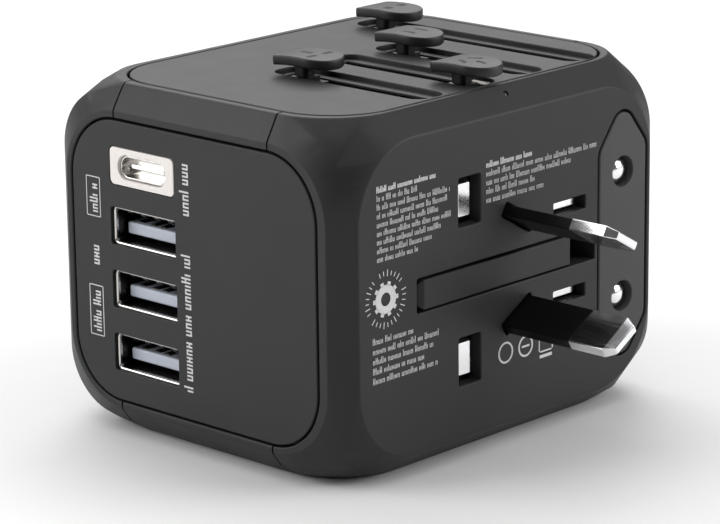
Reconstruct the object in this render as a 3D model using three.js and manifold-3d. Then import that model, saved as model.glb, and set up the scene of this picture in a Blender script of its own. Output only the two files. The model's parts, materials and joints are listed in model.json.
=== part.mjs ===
// Universal travel adapter: a box-shaped casing with four sets of plug pins that slide out of its
// front face, a folding earth pin, four USB ports on one side and a universal socket at the back.
//
// Millimetres, +Z up. The origin is the centre of the face that the adapter rests on. The pins come
// out towards -Y, the socket faces +Y, the USB ports face -X and the slider knobs are on top.
// The Australian pins are modelled slid out; every other set is modelled slid in.

import * as THREE from 'three';
import { ConvexGeometry } from 'three/addons/geometries/ConvexGeometry.js';
import { mergeVertices } from 'three/addons/utils/BufferGeometryUtils.js';
import Module from 'manifold-3d';

const wasm = await Module();
wasm.setup();

// ---------------------------------------------------------------- driving dimensions

// Casing: half sizes of the outside.
const HALF_X = 33;
const HALF_Y = 28.5;
const HALF_Z = 25;
const MID_Z = HALF_Z;

// Flat part of each face, with rounded corners: its range across each axis, and its radius. Heights
// are from the middle. The crown is a section just inside the top and bottom faces, and the brow one
// just inside the two side faces; they fill the corners out.
const FRONT_FLAT = { x: [-30.4, 30.4], z: [-22, 22], radius: 11 };
const REAR_FLAT = { x: [-29, 29], z: [-21.8, 21.8], radius: 10 };
const SIDE_FLAT = { y: [-25.5, 24.9], z: [-21.5, 21.65], radius: 10.4 };
const TOP_FLAT = { x: [-31, 31], y: [-25.45, 22.6], radius: 10 };
const BASE_FLAT = { x: [-29.6, 29.6], y: [-24.7, 22.6], radius: 10 };
const CROWN = { x: [-31.4, 31.4], y: [-26.3, 24.4], height: 23.5, radius: 8.6 };
const BROW = { y: [-27.6, 26.9], z: [-23.25, 23.4], reach: 31.3, radius: 9 };

// Inside of the casing.
const ROOM_X = 29.4;
const ROOM_Y = 26.5;
const ROOM_Z = 21.8;
const ROOM_EDGE = 2;
const ROOM_RADIUS = 9;

// The casing is split across Y into three parts.
const FRONT_SPLIT_Y = -14.85;
const REAR_SPLIT_Y = 14.7;
const SPLIT_GAP = 0.3;

// Cover panels set into the top, the bottom and the two sides.
const PANEL_THICKNESS = 1.5;
const PANEL_POCKET = 1.8;
const PANEL_GAP = 0.3;
const TOP_PANEL = { x: [-29.4, 29.4], y: [-24.4, 20.9], radius: 9.6 };
const BASE_PANEL = { x: [-28, 28], y: [-23.1, 20.9], radius: 9 };
const SIDE_PANEL = { y: [-23.4, 23.4], z: [-20, 20], radius: 8.7 };

// Travel of the sliders, from slid in to slid out.
const TRAVEL = 19.6;
const EU_TRAVEL = 34;
const STEM_Y = -0.5;
const EU_STEM_Y = STEM_Y + EU_TRAVEL - TRAVEL;

// Lanes: X of the pins, and X of the slot that the set's knob runs in.
const UK_LANE = { pins: -8.4, slot: -10.3 };
const AUS_LANE = { pins: 1.6, slot: 0.3 };
const US_LANE = { pins: 12.5, slot: 10.2 };
const EU_LANE = { pins: 24.1, slot: 21.6 };

// The four slider tracks: the X of each slot, and the Y of the knob's stem when slid in.
const TRACKS = [
  { slot: UK_LANE.slot, stem: STEM_Y },
  { slot: AUS_LANE.slot, stem: STEM_Y },
  { slot: US_LANE.slot, stem: STEM_Y },
  { slot: EU_LANE.slot, stem: EU_STEM_Y },
];

// Each track is a shallow recess round a slot that goes through the panel.
const TRACK_DEPTH = 0.7;
const TRACK_HALF = 2.9;
const TRACK_FRONT = -23.9;
const TRACK_BEHIND_STEM = 4.8;
const SLOT_HALF = 0.95;
const SLOT_FRONT = -23.6;
const SLOT_BEHIND_STEM = 3.6;

// Pin sections and the distance of each pin from the middle.
const UK_PIN = { width: 4, thickness: 6.35, offset: 11.1, tip: -27.4 };
const US_PIN = { width: 6.35, thickness: 1.5, offset: 6.35, tip: -27.1 };
const AUS_PIN = { width: 6.35, thickness: 1.6, offset: 6.85, tip: -27.8, tilt: Math.PI / 6 };
const EU_PIN = { radius: 2, offset: 9.1, tip: -28.1 };
const PIN_CLEARANCE = 0.2;
const SLEEVE_WALL = 0.4;
const FIT_GAP = 0.1;

// Front plane of the carriers when slid in, and of the bridge that joins their two arms.
const CARRIER_FRONT = -6.2;
const CARRIER_REAR = 3.3;
const BRIDGE_FRONT = 0.9;
const PIN_SEAT = 2.5;
const POST_TOP = 22.6;
const POST_HALF = [1.6, 1.9];

// The European plug block, a long hexagon that follows its pins out.
const EU_BLOCK = { coreWidth: 2.7, coreShoulder: 11.76, coreTip: 15.2, radius: 2.45, depth: 19, gap: 0.3 };
const EU_CARRIER = { front: 9.7, rear: 17.4, halfX: 4.6, halfZ: 13 };

// The folding earth pin: its hinge, its section and the trough that it lies in.
const EARTH_HINGE = { x: 12, y: -23.6, radius: 1, blockHalfX: 2.4, blockHalfZ: 4.9 };
const EARTH = { tip: -18.6, heel: 13, face: -28.6, back: -21.3, halfZ: 2.05 };
const TROUGH = { left: -18.9, right: 17.95, back: -20.9, halfZ: 2.35, wall: 0.9 };

// Universal socket in the rear face.
const SOCKET_X = 10.9;
const SOCKET_EARTH_X = SOCKET_X - 22.2;
const SOCKET_EARTH = [4.4, 2.5];
const SOCKET_PIN_OFFSETS = { uk: 11.1, eu: 9.3, us: 6.35, aus: 6.85 };
const SOCKET_UK_HALF = [2.35, 3.6];
const SOCKET_EU_RADIUS = 2.5;
const SOCKET_BLADE_HALF = [3.6, 1.1];
const BLOCK = { left: -16.5, right: 15.6, front: 8, rear: 26.2, halfZ: 16.5 };
const WELL = { halfX: 3.8, inner: 4.6, outer: 15.2, floor: 9.2 };

// Sheet metal inside: spring contacts, bus bars and the European rails.
const SHEET = 0.6;
const CONTACT = { inner: 2.15, outer: 2.75, leafRear: 15.6, tailHalf: 0.9 };
const BUS_BAR = { left: -7.4, right: 16.8, front: 6.4, edge: 16.8, fingerFront: -19 };
const EU_RAIL = { left: 28.6, right: 29.1, front: -19, rear: 18.9 };

// USB ports, stacked up the left side.
const PORT_Y = 9.4;
const USB_A = { halfY: 6.3, halfZ: 2.6, wall: 0.3, front: -32.5, rear: -18.7, levels: [30.05, 21, 11.9] };
const USB_A_TONGUE = { halfY: 5.55, bottom: -1.5, top: 0.25, front: -30.7 };
const USB_C = { halfY: 6.35, halfZ: 2.7, level: 38.65, slot: [4.6, 1.65], depth: 2.4, rear: -23 };
const USB_C_TONGUE = { halfY: 3.3, halfZ: 0.35, front: -31.8 };
const PORT_WINDOW = { y: [1.5, 17.3], z: [7.6, 43] };

// What stands on the charger board, which faces the ports.
const BOARD = { front: -18.4, rear: -16.8, y: [-19.6, 16.6], z: [8.8, 42.4] };
const TRANSFORMER = { left: -29, y: [-19.4, -7.6], z: [17, 30], rim: 2.4, wall: 1.4, legHalf: 3 };
const INPUT_CAPACITOR = { x: -23.9, y: -14.6, radius: 4.4, z: [31, 40.8] };
const OUTPUT_CAPACITOR = { x: -23.9, y: -3.2, radius: 3.9, z: [12, 24] };
const FUSE = { x: -2, y: -12, radius: 4.6, z: [3.6, 7.6] };

// Casing screws: X and height from the middle.
const SCREWS = [[-22, -18.7], [-22, 18.7], [15.9, -19.3], [15.9, 19.3]];
const SCREW_RADIUS = 1.1;
const SCREW_TIP_Y = -19.4;
const BOSS_RADIUS = 2.4;
const BOSS_RIB_HALF = 1.5;
const HEAD_RADIUS = 2.3;
const HEAD_SEAT_Y = 26.9;
const SCREW_GAP = 0.3;

// Power light in the chamfer above the pin face: the middle of its outer end.
const LIGHT = { x: 1.4, y: -26.5, z: 49, radius: 0.35, length: 2.2 };

const ROUND_STEPS = 20;
const CORNER_STEPS = 6;

// ---------------------------------------------------------------- materials

const finish = (color, roughness, metalness) => (
  () => new THREE.MeshStandardMaterial({ color, roughness, metalness, flatShading: true })
);
const casingPlastic = finish(0x44464a, 0.55, 0);
const panelPlastic = finish(0x46484c, 0.6, 0);
const blockPlastic = finish(0x5c5e61, 0.55, 0);
const knobPlastic = finish(0x2c2d30, 0.5, 0);
const carrierPlastic = finish(0x26272a, 0.6, 0);
const sleevePlastic = finish(0x141415, 0.45, 0);
const creamPlastic = finish(0xece4de, 0.5, 0);
const tonguePlastic = finish(0xdfe6f2, 0.4, 0);
const nickel = finish(0xd2d3d6, 0.25, 1);
const brass = finish(0xc9a85a, 0.35, 1);
const boardGreen = finish(0x1f5a3a, 0.6, 0);
const ferrite = finish(0x2d2a28, 0.7, 0);
const canBlue = finish(0x27406e, 0.4, 0.1);
const lens = finish(0xd8dde0, 0.2, 0);

// ---------------------------------------------------------------- geometry helpers

const part = new THREE.Group();

function toSolid(geometry) {
  const bare = geometry.clone();
  bare.deleteAttribute('normal');
  bare.deleteAttribute('uv');
  const merged = mergeVertices(bare);
  return new wasm.Manifold(new wasm.Mesh({
    numProp: 3,
    vertProperties: new Float32Array(merged.attributes.position.array),
    triVerts: new Uint32Array(merged.index.array),
  }));
}

function addPart(name, solid, makeMaterial, parent = part) {
  const surface = solid.getMesh();
  const geometry = new THREE.BufferGeometry();
  geometry.setAttribute('position', new THREE.BufferAttribute(surface.vertProperties, 3));
  geometry.setIndex(new THREE.BufferAttribute(surface.triVerts, 1));
  const mesh = new THREE.Mesh(geometry, makeMaterial());
  mesh.name = name;
  parent.add(mesh);
  return mesh;
}

function box(x0, x1, y0, y1, z0, z1) {
  const geometry = new THREE.BoxGeometry(x1 - x0, y1 - y0, z1 - z0);
  geometry.translate((x0 + x1) / 2, (y0 + y1) / 2, (z0 + z1) / 2);
  return toSolid(geometry);
}

// A closed outline swept along one axis. Outline points are (x, y) for 'z', (x, z) for 'y' and
// (y, z) for 'x'.
function prism(axis, outline, from, to) {
  const geometry = new THREE.ExtrudeGeometry(new THREE.Shape(outline), {
    depth: to - from,
    bevelEnabled: false,
  });
  const x = new THREE.Vector3(1, 0, 0);
  const y = new THREE.Vector3(0, 1, 0);
  const z = new THREE.Vector3(0, 0, 1);
  if (axis === 'z') {
    geometry.translate(0, 0, from);
  }
  if (axis === 'y') {
    geometry.applyMatrix4(new THREE.Matrix4().makeBasis(x, z, y.clone().negate()));
    geometry.translate(0, to, 0);
  }
  if (axis === 'x') {
    geometry.applyMatrix4(new THREE.Matrix4().makeBasis(y, z, x));
    geometry.translate(from, 0, 0);
  }
  return toSolid(geometry);
}

function outlineOf(pairs) {
  return pairs.map(([u, v]) => new THREE.Vector2(u, v));
}

function roundedRect(cu, cv, halfU, halfV, radius, steps = CORNER_STEPS) {
  const points = [];
  for (let corner = 0; corner < 4; corner += 1) {
    const start = corner * Math.PI / 2;
    const signU = corner === 0 || corner === 3 ? 1 : -1;
    const signV = corner < 2 ? 1 : -1;
    for (let step = 0; step <= steps; step += 1) {
      const angle = start + step / steps * Math.PI / 2;
      points.push(new THREE.Vector2(
        cu + signU * (halfU - radius) + radius * Math.cos(angle),
        cv + signV * (halfV - radius) + radius * Math.sin(angle),
      ));
    }
  }
  return points;
}

function circle(cu, cv, radius, steps = ROUND_STEPS) {
  const points = [];
  for (let step = 0; step < steps; step += 1) {
    const angle = step / steps * 2 * Math.PI;
    points.push(new THREE.Vector2(cu + radius * Math.cos(angle), cv + radius * Math.sin(angle)));
  }
  return points;
}

function rotatedRect(cu, cv, halfU, halfV, angle) {
  const corners = [[-1, -1], [1, -1], [1, 1], [-1, 1]];
  return corners.map(([su, sv]) => new THREE.Vector2(su * halfU, sv * halfV)
    .rotateAround(new THREE.Vector2(), angle)
    .add(new THREE.Vector2(cu, cv)));
}

// A rounded rectangle over two ranges, grown by a margin.
function rangeRect(rangeU, rangeV, radius, grow = 0, steps = CORNER_STEPS) {
  const half = (range) => (range[1] - range[0]) / 2 + grow;
  const mid = (range) => (range[1] + range[0]) / 2;
  return roundedRect(mid(rangeU), mid(rangeV), half(rangeU), half(rangeV), radius + grow, steps);
}

function raised(range) {
  return range.map((height) => MID_Z + height);
}

// The convex body round a set of flat faces with rounded corners. Its faces are joined by straight
// bands and blended corners.
function casingOutside() {
  const points = [];
  for (const p of rangeRect(FRONT_FLAT.x, raised(FRONT_FLAT.z), FRONT_FLAT.radius)) {
    points.push(new THREE.Vector3(p.x, -HALF_Y, p.y));
  }
  for (const p of rangeRect(REAR_FLAT.x, raised(REAR_FLAT.z), REAR_FLAT.radius)) {
    points.push(new THREE.Vector3(p.x, HALF_Y, p.y));
  }
  for (const p of rangeRect(SIDE_FLAT.y, raised(SIDE_FLAT.z), SIDE_FLAT.radius)) {
    points.push(new THREE.Vector3(-HALF_X, p.x, p.y), new THREE.Vector3(HALF_X, p.x, p.y));
  }
  for (const p of rangeRect(TOP_FLAT.x, TOP_FLAT.y, TOP_FLAT.radius)) {
    points.push(new THREE.Vector3(p.x, p.y, MID_Z + HALF_Z));
  }
  for (const p of rangeRect(BASE_FLAT.x, BASE_FLAT.y, BASE_FLAT.radius)) {
    points.push(new THREE.Vector3(p.x, p.y, MID_Z - HALF_Z));
  }
  for (const p of rangeRect(CROWN.x, CROWN.y, CROWN.radius)) {
    points.push(new THREE.Vector3(p.x, p.y, MID_Z + CROWN.height));
    points.push(new THREE.Vector3(p.x, p.y, MID_Z - CROWN.height));
  }
  for (const p of rangeRect(BROW.y, raised(BROW.z), BROW.radius)) {
    points.push(new THREE.Vector3(-BROW.reach, p.x, p.y), new THREE.Vector3(BROW.reach, p.x, p.y));
  }
  return toSolid(new ConvexGeometry(points));
}

// The room inside the casing: a box with chamfered edges and rounded corners.
function casingRoom() {
  const points = [];
  const inX = ROOM_X - ROOM_EDGE;
  const inY = ROOM_Y - ROOM_EDGE;
  const inZ = ROOM_Z - ROOM_EDGE;
  for (const side of [-1, 1]) {
    for (const p of roundedRect(0, MID_Z, inX, inZ, ROOM_RADIUS)) {
      points.push(new THREE.Vector3(p.x, side * ROOM_Y, p.y));
    }
    for (const p of roundedRect(0, MID_Z, inY, inZ, ROOM_RADIUS)) {
      points.push(new THREE.Vector3(side * ROOM_X, p.x, p.y));
    }
    for (const p of roundedRect(0, 0, inX, inY, ROOM_RADIUS)) {
      points.push(new THREE.Vector3(p.x, p.y, MID_Z + side * ROOM_Z));
    }
  }
  return toSolid(new ConvexGeometry(points));
}

function joined(solids) {
  return solids.reduce((whole, next) => whole.add(next));
}

// ---------------------------------------------------------------- openings in the front face

const tiltedPinOutline = (side, grow) => rotatedRect(
  AUS_LANE.pins,
  MID_Z + side * AUS_PIN.offset,
  AUS_PIN.width / 2 + grow,
  AUS_PIN.thickness / 2 + grow,
  -side * AUS_PIN.tilt,
);

// A hexagon with rounded corners: a core polygon, anticlockwise, grown by a radius.
function euBlockOutline(grow) {
  const { coreWidth, coreShoulder, coreTip } = EU_BLOCK;
  const core = outlineOf([
    [coreWidth, -coreShoulder],
    [coreWidth, coreShoulder],
    [0, coreTip],
    [-coreWidth, coreShoulder],
    [-coreWidth, -coreShoulder],
    [0, -coreTip],
  ]);
  const radius = EU_BLOCK.radius + grow;
  const steps = 4;
  const points = [];
  core.forEach((here, index) => {
    const before = core[(index + core.length - 1) % core.length];
    const after = core[(index + 1) % core.length];
    const facing = (from, to) => Math.atan2(from.x - to.x, to.y - from.y);
    const start = facing(before, here);
    const turn = (facing(here, after) - start + 2 * Math.PI) % (2 * Math.PI);
    for (let step = 0; step <= steps; step += 1) {
      const angle = start + turn * step / steps;
      points.push(new THREE.Vector2(here.x + radius * Math.cos(angle), here.y + radius * Math.sin(angle)));
    }
  });
  return points;
}

function frontOpenings() {
  const through = [-HALF_Y - 1, -ROOM_Y + 1];
  const cuts = [];
  for (const side of [-1, 1]) {
    const uk = roundedRect(UK_LANE.pins, MID_Z + side * UK_PIN.offset,
      UK_PIN.width / 2 + PIN_CLEARANCE, UK_PIN.thickness / 2 + PIN_CLEARANCE, 0.3, 2);
    const us = roundedRect(US_LANE.pins, MID_Z + side * US_PIN.offset,
      US_PIN.width / 2 + PIN_CLEARANCE, US_PIN.thickness / 2 + PIN_CLEARANCE, 0.2, 2);
    cuts.push(prism('y', uk, ...through));
    cuts.push(prism('y', us, ...through));
    cuts.push(prism('y', tiltedPinOutline(side, PIN_CLEARANCE), ...through));
  }
  const euOutline = euBlockOutline(EU_BLOCK.gap).map(
    (p) => p.clone().add(new THREE.Vector2(EU_LANE.pins, MID_Z)));
  cuts.push(prism('y', euOutline, -HALF_Y - 1, -HALF_Y + EU_BLOCK.depth + 1));
  return joined(cuts);
}

// ---------------------------------------------------------------- casing

function screwBosses(from, to) {
  return joined(SCREWS.map(([x, height]) => {
    const wall = Math.sign(height) * (ROOM_Z + 0.2);
    const rib = box(x - BOSS_RIB_HALF, x + BOSS_RIB_HALF, from, to,
      MID_Z + Math.min(height, wall), MID_Z + Math.max(height, wall));
    return prism('y', circle(x, MID_Z + height, BOSS_RADIUS), from, to).add(rib);
  }));
}

function screwBores() {
  return joined(SCREWS.map(([x, height]) => {
    const shank = prism('y', circle(x, MID_Z + height, SCREW_RADIUS + SCREW_GAP, 12),
      SCREW_TIP_Y - 0.6, HALF_Y);
    const head = prism('y', circle(x, MID_Z + height, HEAD_RADIUS + SCREW_GAP, 16),
      HEAD_SEAT_Y, HALF_Y + 1);
    return shank.add(head);
  }));
}

function panelPockets() {
  const top = rangeRect(TOP_PANEL.x, TOP_PANEL.y, TOP_PANEL.radius, PANEL_GAP);
  const base = rangeRect(BASE_PANEL.x, BASE_PANEL.y, BASE_PANEL.radius, PANEL_GAP);
  const side = rangeRect(SIDE_PANEL.y, raised(SIDE_PANEL.z), SIDE_PANEL.radius, PANEL_GAP);
  const topZ = MID_Z + HALF_Z;
  return joined([
    prism('z', top, topZ - PANEL_POCKET, topZ + 1),
    prism('z', base, -1, PANEL_POCKET),
    prism('x', side, -HALF_X - 1, -HALF_X + PANEL_POCKET),
    prism('x', side, HALF_X - PANEL_POCKET, HALF_X + 1),
  ]);
}

// The windows under the slider panel and the USB panel.
function panelWindows() {
  const halfX = 2;
  const behindStem = 3;
  const knobWindows = TRACKS.map((track) => box(track.slot - halfX, track.slot + halfX,
    SLOT_FRONT, track.stem + behindStem, MID_Z + ROOM_Z - 0.5, MID_Z + HALF_Z));
  const portWindow = box(-HALF_X, -ROOM_X + 1, ...PORT_WINDOW.y, ...PORT_WINDOW.z);
  return joined([...knobWindows, portWindow]);
}

function earthTrough() {
  const wall = TROUGH.wall;
  const outer = box(TROUGH.left - wall, TROUGH.right + 0.6, -ROOM_Y - 0.5, TROUGH.back + wall,
    MID_Z - TROUGH.halfZ - wall, MID_Z + TROUGH.halfZ + wall);
  const { x, blockHalfX, blockHalfZ } = EARTH_HINGE;
  const hingeBlock = box(x - blockHalfX, x + blockHalfX, -ROOM_Y - 0.5, TROUGH.back + wall,
    MID_Z - blockHalfZ, MID_Z + blockHalfZ);
  return outer.add(hingeBlock);
}

function earthTroughCut() {
  const hollow = box(TROUGH.left, TROUGH.right, -HALF_Y - 1, TROUGH.back,
    MID_Z - TROUGH.halfZ, MID_Z + TROUGH.halfZ);
  const boreHalf = EARTH_HINGE.blockHalfZ + 1;
  const axleBore = prism('z', circle(EARTH_HINGE.x, EARTH_HINGE.y, EARTH_HINGE.radius + FIT_GAP, 16),
    MID_Z - boreHalf, MID_Z + boreHalf);
  return hollow.add(axleBore);
}

function universalSocketHoles(from, to) {
  const holes = [];
  for (const side of [-1, 1]) {
    const level = (kind) => MID_Z + side * SOCKET_PIN_OFFSETS[kind];
    holes.push(roundedRect(SOCKET_X, level('uk'), ...SOCKET_UK_HALF, 0.8, 3));
    holes.push(circle(SOCKET_X, level('eu'), SOCKET_EU_RADIUS));
    holes.push(roundedRect(SOCKET_X, level('us'), ...SOCKET_BLADE_HALF, 0.4, 2));
    holes.push(rotatedRect(SOCKET_X, level('aus'), ...SOCKET_BLADE_HALF, side * AUS_PIN.tilt));
  }
  holes.push(roundedRect(SOCKET_EARTH_X, MID_Z, SOCKET_EARTH[0], SOCKET_EARTH[1], 0.8, 3));
  return joined(holes.map((outline) => prism('y', outline, from, to)));
}

// The light pipe comes out of the chamfer above the pin face, square to it.
function lightPipe(radius, length, inset) {
  const geometry = new THREE.CylinderGeometry(radius, radius, length, 12);
  geometry.translate(0, -length / 2 - inset, 0);
  geometry.rotateX(Math.PI * 3 / 4);
  geometry.translate(LIGHT.x, LIGHT.y, LIGHT.z);
  return toSolid(geometry);
}

function casingShell() {
  return casingOutside()
    .subtract(casingRoom())
    .add(earthTrough())
    .add(screwBosses(-ROOM_Y - 0.5, ROOM_Y + 0.5))
    .subtract(earthTroughCut())
    .subtract(screwBores())
    .subtract(panelPockets())
    .subtract(panelWindows())
    .subtract(frontOpenings())
    .subtract(universalSocketHoles(ROOM_Y - 1, HALF_Y + 1))
    .subtract(lightPipe(LIGHT.radius + FIT_GAP, LIGHT.length + 3, -1));
}

function addCasing() {
  const shell = casingShell();
  const reach = HALF_X + 5;
  const slice = (y0, y1) => shell.intersect(box(-reach, reach, y0, y1, -5, MID_Z + reach));
  addPart('pin_side_shell', slice(-reach, FRONT_SPLIT_Y - SPLIT_GAP / 2), casingPlastic);
  addPart('middle_frame', slice(FRONT_SPLIT_Y + SPLIT_GAP / 2, REAR_SPLIT_Y - SPLIT_GAP / 2),
    casingPlastic);
  addPart('socket_side_shell', slice(REAR_SPLIT_Y + SPLIT_GAP / 2, reach), casingPlastic);
  addPart('power_light', lightPipe(LIGHT.radius, LIGHT.length, 0.3), lens);
}

// ---------------------------------------------------------------- panels

function addSliderPanel() {
  const topZ = MID_Z + HALF_Z;
  let panel = prism('z', rangeRect(TOP_PANEL.x, TOP_PANEL.y, TOP_PANEL.radius),
    topZ - PANEL_THICKNESS, topZ);
  for (const track of TRACKS) {
    const trackRear = track.stem + TRACK_BEHIND_STEM;
    const recess = roundedRect(track.slot, (TRACK_FRONT + trackRear) / 2, TRACK_HALF,
      (trackRear - TRACK_FRONT) / 2, 2.2, 4);
    const slotRear = track.stem + SLOT_BEHIND_STEM;
    const slot = roundedRect(track.slot, (SLOT_FRONT + slotRear) / 2, SLOT_HALF,
      (slotRear - SLOT_FRONT) / 2, 0.3, 2);
    panel = panel
      .subtract(prism('z', recess, topZ - TRACK_DEPTH, topZ + 1))
      .subtract(prism('z', slot, topZ - PANEL_THICKNESS - 1, topZ + 1));
  }
  addPart('slider_panel', panel, panelPlastic);
}

function sidePlate(from, to) {
  return prism('x', rangeRect(SIDE_PANEL.y, raised(SIDE_PANEL.z), SIDE_PANEL.radius), from, to);
}

function addSidePanels() {
  let usbPanel = sidePlate(-HALF_X, -HALF_X + PANEL_THICKNESS);
  for (const level of USB_A.levels) {
    usbPanel = usbPanel.subtract(prism('x',
      roundedRect(PORT_Y, level, USB_A.halfY + FIT_GAP, USB_A.halfZ + FIT_GAP, 0.3, 2),
      -HALF_X - 1, -HALF_X + 3));
  }
  usbPanel = usbPanel.subtract(prism('x',
    roundedRect(PORT_Y, USB_C.level, USB_C.halfY + 0.1, USB_C.halfZ + 0.1, 0.8, 3),
    -HALF_X - 1, -HALF_X + 3));
  addPart('usb_panel', usbPanel, panelPlastic);
  addPart('side_panel', sidePlate(HALF_X - PANEL_THICKNESS, HALF_X), panelPlastic);
  addPart('base_panel', prism('z', rangeRect(BASE_PANEL.x, BASE_PANEL.y, BASE_PANEL.radius),
    0, PANEL_THICKNESS), panelPlastic);
}

// ---------------------------------------------------------------- plug pins

// A flat pin along Y with a bevelled tip. Its rear length may be cut down to carry a sleeve.
function flatPin(width, thickness, tip, root, bevel, sleeveFront) {
  const body = box(-width / 2, width / 2, tip + bevel, root, -thickness / 2, thickness / 2);
  const slope = bevel * 0.55;
  const corners = [];
  for (const side of [-1, 1]) {
    for (const up of [-1, 1]) {
      corners.push(new THREE.Vector3(side * width / 2, tip + bevel, up * thickness / 2));
      corners.push(new THREE.Vector3(side * (width / 2 - slope), tip,
        up * (thickness / 2 - Math.min(slope, thickness / 7))));
    }
  }
  const pin = body.add(toSolid(new ConvexGeometry(corners)));
  const waist = SLEEVE_WALL + FIT_GAP;
  const keep = box(-width / 2 + waist, width / 2 - waist, sleeveFront - 1, root + 1,
    -thickness / 2 + waist, thickness / 2 - waist);
  const rear = box(-width, width, sleeveFront, root + 1, -thickness, thickness);
  return sleeveFront < root ? pin.subtract(rear.subtract(keep)) : pin;
}

function flatSleeve(width, thickness, from, to) {
  const wall = SLEEVE_WALL;
  const outer = box(-width / 2, width / 2, from, to, -thickness / 2, thickness / 2);
  const hole = box(-width / 2 + wall, width / 2 - wall, from - 1, to + 1,
    -thickness / 2 + wall, thickness / 2 - wall);
  return outer.subtract(hole);
}

// A round pin along Y with a domed tip, turned down behind the tip to carry a sleeve.
function roundPin(radius, tip, root, sleeveFront) {
  const core = radius - SLEEVE_WALL - FIT_GAP;
  const profile = [new THREE.Vector2(0, 0)];
  const domeSteps = 5;
  for (let step = 1; step <= domeSteps; step += 1) {
    const angle = step / domeSteps * Math.PI / 2;
    profile.push(new THREE.Vector2(radius * Math.sin(angle), 1.4 * (1 - Math.cos(angle))));
  }
  profile.push(new THREE.Vector2(radius, sleeveFront - tip));
  profile.push(new THREE.Vector2(core, sleeveFront - tip));
  profile.push(new THREE.Vector2(core, root - tip));
  profile.push(new THREE.Vector2(0, root - tip));
  const geometry = new THREE.LatheGeometry(profile, ROUND_STEPS);
  geometry.translate(0, tip, 0);
  return toSolid(geometry);
}

function roundSleeve(radius, from, to) {
  return prism('y', circle(0, 0, radius - 0.05), from, to)
    .subtract(prism('y', circle(0, 0, radius - SLEEVE_WALL, 16), from - 1, to + 1));
}

// ---------------------------------------------------------------- carriers and knobs

function carrierPost(lane, stemY, from) {
  const x = lane.slot - lane.pins;
  return box(x - POST_HALF[0], x + POST_HALF[0], stemY - POST_HALF[1], stemY + POST_HALF[1],
    from, POST_TOP);
}

// Two arms that hold the pins, joined behind the folded earth pin by a bridge, and a post that
// takes the knob.
function armedCarrier(lane, halfX, inner, outer, seats) {
  const arms = [-1, 1].map((side) => box(-halfX, halfX, CARRIER_FRONT, CARRIER_REAR,
    Math.min(side * inner, side * outer), Math.max(side * inner, side * outer)));
  const bridge = box(-halfX, halfX, BRIDGE_FRONT, CARRIER_REAR, -inner - 0.5, inner + 0.5);
  return joined([...arms, bridge, carrierPost(lane, STEM_Y, outer - 1)])
    .subtract(seats)
    .subtract(tangPocket(lane, STEM_Y));
}

const TANG = { halfX: 0.65, halfY: 1.7, bottom: 18.9 };

function tangPocket(lane, stemY) {
  const x = lane.slot - lane.pins;
  const gap = FIT_GAP + 0.05;
  return box(x - TANG.halfX - gap, x + TANG.halfX + gap, stemY - TANG.halfY - gap,
    stemY + TANG.halfY + gap, TANG.bottom - 0.2, POST_TOP + 1);
}

// The knob: a D-shaped cap with an arched top, a stem that stands in the track, a strip that
// covers the slot beside the stem, and a tang that goes down into the carrier's post.
const KNOB = { halfX: 3.4, back: 3.8, front: -5.6, bottom: 26.5, top: 27.9, archRadius: 32 };
const KNOB_STEM = { halfX: 1.1, halfY: 1.25, behind: 0.7 };

function knobOutline(stemY) {
  const points = [];
  const centreY = stemY + KNOB.front + KNOB.halfX;
  const steps = 12;
  for (let step = 0; step <= steps; step += 1) {
    const angle = Math.PI + step / steps * Math.PI;
    points.push(new THREE.Vector2(KNOB.halfX * Math.cos(angle), centreY + KNOB.halfX * Math.sin(angle)));
  }
  points.push(new THREE.Vector2(KNOB.halfX, stemY + KNOB.back - 0.5));
  points.push(new THREE.Vector2(KNOB.halfX - 0.5, stemY + KNOB.back));
  points.push(new THREE.Vector2(0.5 - KNOB.halfX, stemY + KNOB.back));
  points.push(new THREE.Vector2(-KNOB.halfX, stemY + KNOB.back - 0.5));
  return points;
}

function knobSolid(stemY) {
  const trackFloor = HALF_Z - TRACK_DEPTH;
  const cap = prism('z', knobOutline(stemY), KNOB.bottom, KNOB.top);
  const arch = prism('x', circle(stemY - 1, KNOB.top - KNOB.archRadius, KNOB.archRadius, 120), -5, 5);
  const stem = prism('z', roundedRect(0, stemY + KNOB_STEM.behind, KNOB_STEM.halfX, KNOB_STEM.halfY, 0.5, 3),
    trackFloor + 0.2, KNOB.bottom + 0.5);
  const tang = box(-TANG.halfX, TANG.halfX, stemY - TANG.halfY, stemY + TANG.halfY,
    TANG.bottom, trackFloor + 0.5);
  const strip = box(-SLOT_HALF + 0.15, SLOT_HALF - 0.15, stemY - 3.2, stemY + 3.2,
    HALF_Z - PANEL_THICKNESS + 0.1, trackFloor - 0.15);
  return joined([cap.intersect(arch), stem, tang, strip]);
}

function addKnob(name, lane, stemY, group) {
  const knob = addPart(name, knobSolid(stemY), knobPlastic, group);
  knob.position.x = lane.slot - lane.pins;
}

// A plug set stands in its lane; its children are placed from the middle of the front face.
function plugSet(lane, slidOut) {
  const group = new THREE.Group();
  group.position.set(lane.pins, slidOut ? -TRAVEL : 0, MID_Z);
  part.add(group);
  return group;
}

const PIN_NAMES = [
  { side: 1, word: 'live' },
  { side: -1, word: 'neutral' },
];

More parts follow.
